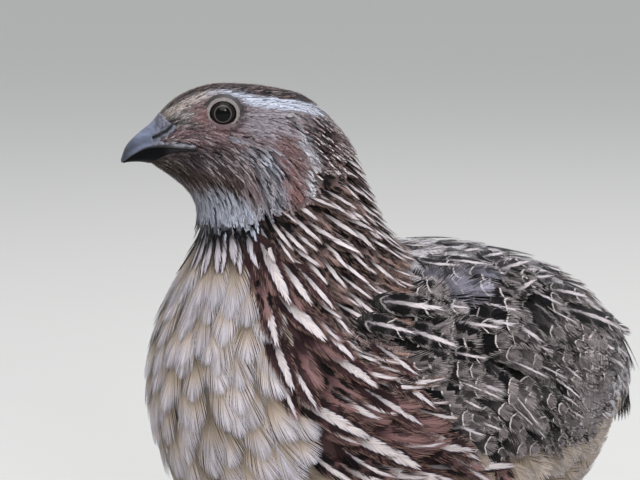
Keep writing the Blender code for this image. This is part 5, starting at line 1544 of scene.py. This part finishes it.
def plates_tree():
    """A tree that sets a flattened bead on every point, turned and sized by the point's own values."""
    tree = bpy.data.node_groups.new("Plates on points", "GeometryNodeTree")
    face = tree.interface
    face.new_socket("Geometry", in_out="INPUT", socket_type="NodeSocketGeometry")
    face.new_socket("Size", in_out="INPUT", socket_type="NodeSocketFloat")
    face.new_socket("Unevenness", in_out="INPUT", socket_type="NodeSocketFloat")
    face.new_socket("Seed", in_out="INPUT", socket_type="NodeSocketInt")
    face.new_socket("Material", in_out="INPUT", socket_type="NodeSocketMaterial")
    face.new_socket("Geometry", in_out="OUTPUT", socket_type="NodeSocketGeometry")
    start = tree.nodes.new("NodeGroupInput")
    bead = add(tree, "GeometryNodeMeshIcoSphere", 1.0, 3)
    turn = tree.nodes.new("GeometryNodeInputNamedAttribute")
    turn.data_type = "FLOAT_VECTOR"
    turn.inputs[0].default_value = "turn"
    size = tree.nodes.new("GeometryNodeInputNamedAttribute")
    size.data_type = "FLOAT_VECTOR"
    size.inputs[0].default_value = "size"
    uneven = tree.nodes.new("FunctionNodeRandomValue")
    uneven.data_type = "FLOAT"
    for socket in uneven.inputs:
        if socket.name == "Min" and socket.type == "VALUE":
            tree.links.new(sums(tree, "SUBTRACT", 1.0, start.outputs[2]), socket)
        if socket.name == "Max" and socket.type == "VALUE":
            tree.links.new(sums(tree, "ADD", 1.0, start.outputs[2]), socket)
        if socket.name == "Seed":
            tree.links.new(start.outputs[3], socket)
    chance = next(o for o in uneven.outputs if o.type == "VALUE")
    whole = add(tree, "ShaderNodeVectorMath", size.outputs[0], operation="SCALE")
    tree.links.new(sums(tree, "MULTIPLY", start.outputs[1], chance), whole.node.inputs["Scale"])
    placed = tree.nodes.new("GeometryNodeInstanceOnPoints")
    tree.links.new(start.outputs[0], placed.inputs["Points"])
    tree.links.new(bead, placed.inputs["Instance"])
    tree.links.new(turn.outputs[0], placed.inputs["Rotation"])
    tree.links.new(whole, placed.inputs["Scale"])
    real = add(tree, "GeometryNodeRealizeInstances", placed.outputs[0])
    painted = tree.nodes.new("GeometryNodeSetMaterial")
    tree.links.new(real, painted.inputs["Geometry"])
    tree.links.new(start.outputs[4], painted.inputs["Material"])
    shaded = tree.nodes.new("GeometryNodeSetShadeSmooth")
    tree.links.new(painted.outputs[0], shaded.inputs["Geometry"])
    end = tree.nodes.new("NodeGroupOutput")
    tree.links.new(shaded.outputs[0], end.inputs[0])
    return tree


def plates(name, points, turns, sizes, material, slot, scale=1.0, uneven=0.12):
    """Flattened beads on points, made by the tree and kept as a plain mesh."""
    tree = bpy.data.node_groups.get("Plates on points") or plates_tree()
    mesh = bpy.data.meshes.new(name)
    mesh.from_pydata(((np.asarray(points) + SHIFT) * MM).tolist(), [], [])
    for key, values in (("turn", turns), ("size", np.asarray(sizes) * MM)):
        made = mesh.attributes.new(key, "FLOAT_VECTOR", "POINT")
        made.data.foreach_set("vector", np.asarray(values, np.float32).ravel())
    obj = bpy.data.objects.new(name, mesh)
    bpy.context.scene.collection.objects.link(obj)
    modifier = obj.modifiers.new("plates", "NODES")
    modifier.node_group = tree
    wanted = {"Size": scale, "Unevenness": uneven, "Seed": SEED, "Material": material}
    for item in tree.interface.items_tree:
        if item.in_out == "INPUT" and item.name in wanted:
            modifier[item.identifier] = wanted[item.name]
    graph = bpy.context.evaluated_depsgraph_get()
    made = bpy.data.meshes.new_from_object(obj.evaluated_get(graph), depsgraph=graph)
    obj.modifiers.clear()
    obj.data = made
    bpy.data.meshes.remove(mesh)
    made.name = name
    return settle(obj, slot)


def turns_from(normal, ahead):
    """Rotations that lay a bead's flat side on a normal, with its first axis ahead, as Euler angles."""
    out = []
    for up, forward in zip(np.asarray(normal, float), np.asarray(ahead, float)):
        z = Vector(up).normalized()
        x = Vector(forward)
        x = (x - z * x.dot(z)).normalized()
        y = z.cross(x)
        out.append(Matrix((x, y, z)).transposed().to_euler()[:])
    return np.array(out)


def build_eye(side, word):
    """One wet eyeball, with its colours by distance from its middle."""
    sizes, tones = bpy.context.scene.quail_sizes, palette()
    centre, axis = eye_axis(side)
    rings, sides = 48, 64
    tilt = np.linspace(0.02, math.pi - 0.02, rings)
    x_dir = np.cross((0.0, 0.0, 1.0), axis)
    x_dir /= np.linalg.norm(x_dir)
    y_dir = np.cross(axis, x_dir)
    turn = np.arange(sides) * 2 * math.pi / sides
    around = np.cos(turn)[:, None] * x_dir + np.sin(turn)[:, None] * y_dir
    reach = sizes.eye_radius * np.sin(tilt)
    ringed = centre + reach[:, None, None] * around + (-sizes.eye_radius * np.cos(tilt))[:, None, None] * axis
    points, quads, fans = closed_tube(ringed)
    corners, starts = flat_faces(quads[:, ::-1], fans[:, ::-1])
    obj = mesh_from(f"eyeball_{word}", points, corners, starts, {}, None, eye_material(f"eye {word}", sizes.pupil, tones["iris"]))
    apart = np.append(np.repeat(np.where(tilt > math.pi / 2, reach, 9.0), sides), (9.0, 0.0))
    obj.data.attributes.new("reach", "FLOAT", "POINT").data.foreach_set("value", apart.astype(np.float32))
    rays = np.append(np.tile(np.stack([np.cos(turn), np.sin(turn), 0 * turn], 1), (rings, 1)), np.zeros((2, 3)), axis=0)
    rays = rays * 3.0
    obj.data.attributes.new("rays", "FLOAT_VECTOR", "POINT").data.foreach_set("vector", rays.astype(np.float32).ravel())
    return settle(obj, "eye", f"eye_{word}")


def build_lids(side, word, material):
    """The bare ring of lids round an eye, with its rows of tiny beads."""
    sizes, tones = bpy.context.scene.quail_sizes, palette()
    centre, axis = eye_axis(side)
    ahead = from_head(1.0, side * EYE_SIDE, 0.0) - centre
    ahead -= axis * ahead.dot(axis)
    ahead /= np.linalg.norm(ahead)
    upward = np.array((0.0, 0.0, 1.0)) - axis * axis[2]
    upward /= np.linalg.norm(upward)
    turn = np.arange(72) * 2 * math.pi / 72
    rim = sizes.eye_opening * (1 + 0.035 * np.cos(2 * turn))
    sphere = math.sqrt(sizes.eye_radius**2 - sizes.eye_opening**2)
    profile = ((-0.30, -0.25), (0.0, -0.02), (0.05, 0.14), (0.16, 0.22), (0.32, 0.20), (0.50, 0.12), (0.72, 0.0),
               (1.0, -0.25), (1.5, -0.8))
    around = np.cos(turn)[:, None] * ahead + np.sin(turn)[:, None] * upward
    rings = np.array([centre + around * (rim + out)[:, None] + axis * (sphere + rise) for out, rise in profile])
    points = rings.reshape(-1, 3)
    quads = grid_faces(len(profile), 72)
    quads = quads[:, ::-1] if side > 0 else quads
    corners, starts = flat_faces(quads, np.zeros((0, 3), int))
    ground = np.ones((len(points), 4))
    dark_top = smooth(np.sin(turn), 0.2, 0.8)[None, :, None]
    edge = np.array([0.05, 0.08, 0.35, 0.85, 1.0, 0.80, 0.35, 0.2, 0.2])[:, None, None]
    flecks = mottle(np.arange(72) * 0.45, np.zeros(72), 5)[None, :, None]
    tone = tones["lid"] * edge * (1 - 0.35 * dark_top) * (0.65 + 0.6 * flecks)
    ground[:, :3] = tone.reshape(-1, 3)
    obj = mesh_from(f"lids_{word}", points, corners, starts, {"ground": ground}, None, material)
    settle(obj, "eye")
    spots, normals = [], []
    for out, rise, count in ((0.13, 0.20, 64), (0.40, 0.17, 70), (0.66, 0.05, 76)):
        angle = (np.arange(count) + 0.5) * 2 * math.pi / count
        ring = np.cos(angle)[:, None] * ahead + np.sin(angle)[:, None] * upward
        reach = sizes.eye_opening * (1 + 0.035 * np.cos(2 * angle)) + out
        spots.append(centre + ring * reach[:, None] + axis * (sphere + rise))
        normals.append(axis + ring * out * 0.5)
    spots, normals = np.concatenate(spots), np.concatenate(normals)
    bead_sizes = np.tile((0.12, 0.12, 0.07), (len(spots), 1))
    plates(f"lid_beads_{word}", spots, turns_from(normals, np.tile(ahead, (len(spots), 1))), bead_sizes,
           bpy.data.materials["lid beads"], "eye", 1.0, 0.25)


# The bill

NOSTRIL_LINE = ((15.1, -5.25), (13.3, -4.25), (12.3, -3.5), (11.5, -2.8))


def mouth_height(forward):
    """Height of the mouth's line at a distance forward of the eyes."""
    line = np.array(MOUTH_LINE)
    places = np.linspace(0, len(line) - 1, 80)
    fine = curve_at(line, places)
    return np.interp(forward, fine[:, 0], fine[:, 1])


def mouth_angle(t):
    """The angle round from the back at which each cross-section meets the mouth's line."""
    a = np.linspace(0.02, math.pi - 0.02, 400)
    tt, aa = np.meshgrid(t, a, indexing="ij")
    forward, _, up = to_head(body(tt, aa, 0.0))
    above = up - mouth_height(forward) > 0
    count = above.sum(axis=1)
    return a[np.clip(count - 1, 0, len(a) - 1)]


def build_bill_half(name, t, upper, material, replaced):
    """One half of the bill: a closed form whose edge follows the mouth's line."""
    tones = palette()
    meet = mouth_angle(t)
    wide, inner = 60, 14
    rings = []
    for place, angle in zip(t, meet):
        angle = min(max(angle, 0.3), math.pi - 0.3)
        if upper:
            out = np.linspace(-angle, angle, wide)
        else:
            out = np.linspace(angle, 2 * math.pi - angle, wide)
        row = np.full(wide, place)
        grow = 0.05 if upper else -0.12
        under = smooth(past_edge(body(row, out, 0.0)), -0.7, -0.1)
        outer = body(row, out, grow - 1.5 * (1 - under))
        closing = outer[-1] + (outer[0] - outer[-1]) * np.linspace(0, 1, inner + 2)[1:-1, None]
        rings.append(np.concatenate([outer, closing]))
    rings = np.array(rings)
    forward, across, up = to_head(rings)
    side = np.sign(across)
    if upper:
        # the flap over the nostril swells, and its slit lies under it
        slit = stroke(forward, up, NOSTRIL_LINE, (0.26, 0.36, 0.36, 0.28), 0.24)
        flap = stroke(forward, up - 0.75, NOSTRIL_LINE, (0.2, 0.55, 0.6, 0.5), 0.9)
        ridge = 1 - smooth(np.abs(across), 0.3, 1.1)
        outward = 0.22 * flap - 0.75 * slit
        axis = from_head(0.0, 1.0, 0.0) - from_head(0.0, 0.0, 0.0)
        rings = rings + (side * outward * (np.abs(across) > 0.8))[..., None] * axis
        rings[..., 2] += 0.12 * ridge * smooth(up - mouth_height(forward), 1.5, 3)
        tall = up - mouth_height(forward)
        edge = smooth(tall, 0.4, 0.6) * (1 - smooth(tall, 1.2, 1.5))
        cloud = mottle(forward * 0.9, up * 1.8, 1)
        side_light = 0.8 + 0.3 * smooth(forward, 13.5, 16.0) * (1 - smooth(forward, 18.5, 21.0)) + 0.2 * smooth(tall, 2.2, 4.2)
        tone = 1.15 * tones["horn"] * ((0.75 + 0.5 * cloud) * side_light)[..., None]
        tone = tone + (tones["dark_horn"] - tone) * (smooth(forward, 17.0, 21.5) * 0.65)[..., None]
        tone = tone + (tones["dark_horn"] - tone) * (0.35 * smooth(tall, 0.8, 1.6) * (1 - smooth(tall, 1.8, 2.8)))[..., None]
        tone = tone + (tones["lid"] * 0.85 - tone) * (0.75 * edge * (1 - smooth(forward, 12.5, 16.0)))[..., None]
        speckled = mottle(forward * 3.0, up * 3.0, 12)
        tone = tone + ((0.3 * tones["mauve"] + 0.4 * tones["horn"]) * (0.3 + 1.4 * smooth(speckled, 0.2, 0.8))[..., None] - tone) * (0.85 * (1 - smooth(forward, 13.4, 15.9)))[..., None]
        # painted shade of the mouth's gap: the upper bill's lowest edge made black along the mouth's line
        black = np.interp(forward, (7.0, 9.0, 15.0, 18.0, 21.0), (0.15, 0.5, 0.5, 0.28, 0.1))
        tone = tone * (1 - 0.94 * (1 - smooth(tall - black, -0.08, 0.12)))[..., None]
        # painted shade in the nostril's opening: its slit made black
        tone = tone * (1 - 0.96 * slit)[..., None]
    else:
        tone = tones["dark_horn"] + 0 * rings
        tone = tone + (tones["lid"] * 0.5 - tone) * (0.12 * (1 - smooth(forward, 11.0, 13.5)))[..., None]
    points, quads, fans = closed_tube(rings)
    corners, starts = flat_faces(quads, fans)
    ground = np.ones((len(points), 4))
    ground[: tone.size // 3, :3] = tone.reshape(-1, 3)
    ground[-2:, :3] = tones["dark_horn"]
    obj = mesh_from(name, points, corners, starts, {"ground": ground}, None, material)
    return settle(obj, "bill", replaced)


# Operators


class QUAIL_OT_stage(bpy.types.Operator):
    """Builds the pale studio floor, its soft lights and the camera"""

    bl_idname = "quail.stage"
    bl_label = "Studio stage"

    def execute(self, context):
        tones = palette()
        mesh = bpy.data.meshes.new("floor")
        reach = 60.0
        mesh.from_pydata([(-reach, -reach, 0), (reach, -reach, 0), (reach, reach, 0), (-reach, reach, 0)], [], [(0, 1, 2, 3)])
        floor = bpy.data.objects.new("floor", mesh)
        context.scene.collection.objects.link(floor)
        mesh.materials.append(plain_material("floor", tones["floor"], 0.85, 12.0, 0.0002, 0.02))
        world = bpy.data.worlds.new("studio")
        world.use_nodes = True
        sky = world.node_tree.nodes["Background"]
        sky.inputs["Color"].default_value = (0.81, 0.84, 0.89, 1.0)
        sky.inputs["Strength"].default_value = 0.58
        context.scene.world = world
        aim = Vector((0.0, 0.0, 0.09))
        for name, place, size, power in (
            ("key light", (0.75, 0.75, 0.95), 1.0, 9.6),
            ("top light", (-0.45, 0.05, 1.35), 0.8, 9.5),
            ("fill light", (0.62, 1.25, 0.66), 0.26, 4.0),
        ):
            lamp = bpy.data.lights.new(name, "AREA")
            lamp.shape, lamp.size, lamp.energy = "DISK", size, power
            lamp.color = (0.97, 0.98, 1.0)
            obj = bpy.data.objects.new(name, lamp)
            obj.location = place
            obj.rotation_euler = (aim - Vector(place)).to_track_quat("-Z", "Y").to_euler()
            context.scene.collection.objects.link(obj)
        sun = bpy.data.lights.new("even light", "SUN")
        sun.energy, sun.angle = 0.9, math.radians(50.0)
        obj = bpy.data.objects.new("even light", sun)
        obj.rotation_euler = Vector((-0.3, -0.6, -1.0)).to_track_quat("-Z", "Y").to_euler()
        context.scene.collection.objects.link(obj)
        lens = bpy.data.cameras.new("camera")
        lens.sensor_width = 36.0
        lens.lens = 36.0 * CAMERA_FOCUS / 640
        camera = bpy.data.objects.new("camera", lens)
        camera.location = (np.array(CAMERA_AT) + SHIFT) * MM
        look = Vector(CAMERA_TO) - Vector(CAMERA_AT)
        camera.rotation_euler = look.to_track_quat("-Z", "Y").to_euler()
        context.scene.collection.objects.link(camera)
        context.scene.camera = camera
        context.scene.view_settings.view_transform = "Standard"
        return {"FINISHED"}


CAMERA_AT = (302.0, 351.4, 176.8)
CAMERA_TO = (-307.6, -428.9, 37.6)
CAMERA_FOCUS = 2020.0  # focal length in pixels of a picture 640 wide


class QUAIL_OT_skin(bpy.types.Operator):
    """Builds the skin that lies under all the feathers"""

    bl_idname = "quail.skin"
    bl_label = "Skin"

    def execute(self, context):
        build_skin()
        return {"FINISHED"}


class QUAIL_OT_body_coat(bpy.types.Operator):
    """Grows the feathers of body and neck"""

    bl_idname = "quail.body_coat"
    bl_label = "Body feathers"

    def execute(self, context):
        build_body_coat()
        return {"FINISHED"}


class QUAIL_OT_face_coat(bpy.types.Operator):
    """Grows the small feathers of the head"""

    bl_idname = "quail.face_coat"
    bl_label = "Head feathers"

    def execute(self, context):
        rng = np.random.default_rng(SEED + 2)
        material = feather_material("head feathers", 0.72, 0.08)
        for name, batch in zip(("coat_neck_top", "coat_head"), grow_face(rng, context.scene.quail_sizes.fray)):
            coat_object(name, [batch], material, "feathers")
        return {"FINISHED"}


class QUAIL_OT_wings(bpy.types.Operator):
    """Lays the flight feathers, coverts and scapulars of both wings"""

    bl_idname = "quail.wings"
    bl_label = "Wings"

    def execute(self, context):
        material = feather_material("wing feathers", 0.55, 0.08)
        build_wing(1, "left", material)
        build_wing(-1, "right", material)
        return {"FINISHED"}


class QUAIL_OT_tail(bpy.types.Operator):
    """Fans the tail feathers and their coverts"""

    bl_idname = "quail.tail"
    bl_label = "Tail"

    def execute(self, context):
        build_tail()
        return {"FINISHED"}


class QUAIL_OT_eyes(bpy.types.Operator):
    """Sets both eyes and their lids"""

    bl_idname = "quail.eyes"
    bl_label = "Eyes and lids"

    def execute(self, context):
        lids = horn_material("lids", 0.55, 2600.0, 0.00005)
        plain_material("lid beads", palette()["lid"], 0.5, 2000.0, 0.00002, 0.4)
        for side, word in ((1, "left"), (-1, "right")):
            build_eye(side, word)
            build_lids(side, word, lids)
        return {"FINISHED"}


class QUAIL_OT_bill(bpy.types.Operator):
    """Shapes both halves of the bill"""

    bl_idname = "quail.bill"
    bl_label = "Bill"

    def execute(self, context):
        horn = horn_material("bill horn", 0.36, 1500.0, 0.00004, 0.25)
        build_bill_half("bill_upper", np.linspace(19.5, 25.93, 150), True, horn, "upper_bill")
        dark = horn_material("lower bill horn", 0.45, 1500.0, 0.00004, 0.0, 0.06)
        build_bill_half("bill_lower", np.linspace(19.5, 25.6, 120), False, dark, "lower_bill")
        return {"FINISHED"}


class QUAIL_OT_legs(bpy.types.Operator):
    """Covers the thighs with feathers and the shanks and toes with scutes, and finishes the claws"""

    bl_idname = "quail.legs"
    bl_label = "Legs and feet"

    def execute(self, context):
        tones = palette()
        material = bpy.data.materials["body feathers"]
        leg = plain_material("leg skin", tones["leg"] * 0.8, 0.55, 900.0, 0.0001, 0.4)
        scute = plain_material("leg scutes", tones["leg"], 0.42, 700.0, 0.00005, 0.35)
        claw = plain_material("claw horn", tones["claw"], 0.35, 1200.0, 0.00004, 0.5, 0.3)
        for side, word in ((1, "left"), (-1, "right")):
            build_thigh(side, word, material)
            build_scutes(side, word, scute)
            for name in ("shank", "foot"):
                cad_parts[f"{name}_{word}"].data.materials.clear()
                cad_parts[f"{name}_{word}"].data.materials.append(leg)
            for toe in TOES:
                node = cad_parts[f"claw_{word}_{toe}"]
                node.data.materials.clear()
                node.data.materials.append(claw)
        return {"FINISHED"}


def build_scutes(side, word, material):
    """Overlapping scutes down the front and back of the shank and along the top of each toe."""
    hock, ankle = (np.array(p) * (1, side, 1) for p in (HOCK, ANKLE))
    down = (ankle - hock) / np.linalg.norm(ankle - hock)
    spots, normals, aheads, sizes = [], [], [], []
    front = np.array((1.0, 0.0, 0.0)) - down * down[0]
    front /= np.linalg.norm(front)
    beside = np.cross(down, front)
    for facing, columns, count, wide in ((1.0, (-34, 34), 17, 1.15), (-1.0, (-40, 0, 40), 24, 0.8)):
        for place in (np.arange(count) + 0.5) / count:
            thick = 1.7 + 0.5 * (2 * place - 1) ** 4
            for column in columns:
                angle = math.radians(column)
                out = facing * math.cos(angle) * front + math.sin(angle) * beside
                spots.append(hock + (ankle - hock) * place + out * (thick - 0.12))
                normals.append(out + down * 0.12)
                aheads.append(down)
                sizes.append((28.0 / count * 0.72, wide, 0.28))
    for reach, heading, radius in TOES.values():
        angle = math.radians(heading)
        ahead = np.array([math.cos(angle), side * math.sin(angle), 0.0])
        count = int(reach / 1.45)
        for place in (np.arange(count) + 0.8) / (count + 0.6):
            thick = radius * (1 - 0.28 * place)
            rise = 0.9 * max(0.0, 1 - place / 0.3) ** 2
            spots.append(ankle * (1, 1, 0) + ahead * reach * place + (0, 0, 2 * thick - 0.35 + rise - 0.16))
            normals.append(np.array((0.0, 0.0, 1.0)) + ahead * 0.1)
            aheads.append(ahead)
            sizes.append((0.95, thick * 0.86, 0.3))
    plates(f"scutes_{word}", spots, turns_from(normals, aheads), sizes, material, "leg_skin", 1.0, 0.08)


class QUAIL_PT_panel(bpy.types.Panel):
    """Builds each part of the quail"""

    bl_idname = "QUAIL_PT_panel"
    bl_label = "Quail"
    bl_space_type = "VIEW_3D"
    bl_region_type = "UI"
    bl_category = "Quail"

    def draw(self, context):
        for operator in OPERATORS:
            self.layout.operator(operator.bl_idname)
        for group in (context.scene.quail_sizes, context.scene.quail_colours):
            for key in type(group).__annotations__:
                self.layout.prop(group, key)


OPERATORS = (
    QUAIL_OT_stage,
    QUAIL_OT_skin,
    QUAIL_OT_body_coat,
    QUAIL_OT_face_coat,
    QUAIL_OT_wings,
    QUAIL_OT_tail,
    QUAIL_OT_eyes,
    QUAIL_OT_bill,
    QUAIL_OT_legs,
)
CLASSES = (QuailColours, QuailSizes, *OPERATORS, QUAIL_PT_panel)


def register():
    """Makes the add-on's classes and settings known to Blender."""
    for item in CLASSES:
        bpy.utils.register_class(item)
    bpy.types.Scene.quail_colours = bpy.props.PointerProperty(type=QuailColours)
    bpy.types.Scene.quail_sizes = bpy.props.PointerProperty(type=QuailSizes)


def unregister():
    """Takes the add-on's classes and settings away again."""
    del bpy.types.Scene.quail_sizes
    del bpy.types.Scene.quail_colours
    for item in reversed(CLASSES):
        bpy.utils.unregister_class(item)


def frame_shift():
    """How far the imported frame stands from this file's own places, by the left eye."""
    low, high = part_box("eye_left")
    return np.array((low + high) / 2) / MM - eye_axis(1)[0]


SHIFT = frame_shift()


def main():
    """Builds the whole quail and its stage."""
    register()
    for step in OPERATORS:
        group, name = step.bl_idname.split(".")
        getattr(getattr(bpy.ops, group), name)()


if __name__ == "__main__":
    main()
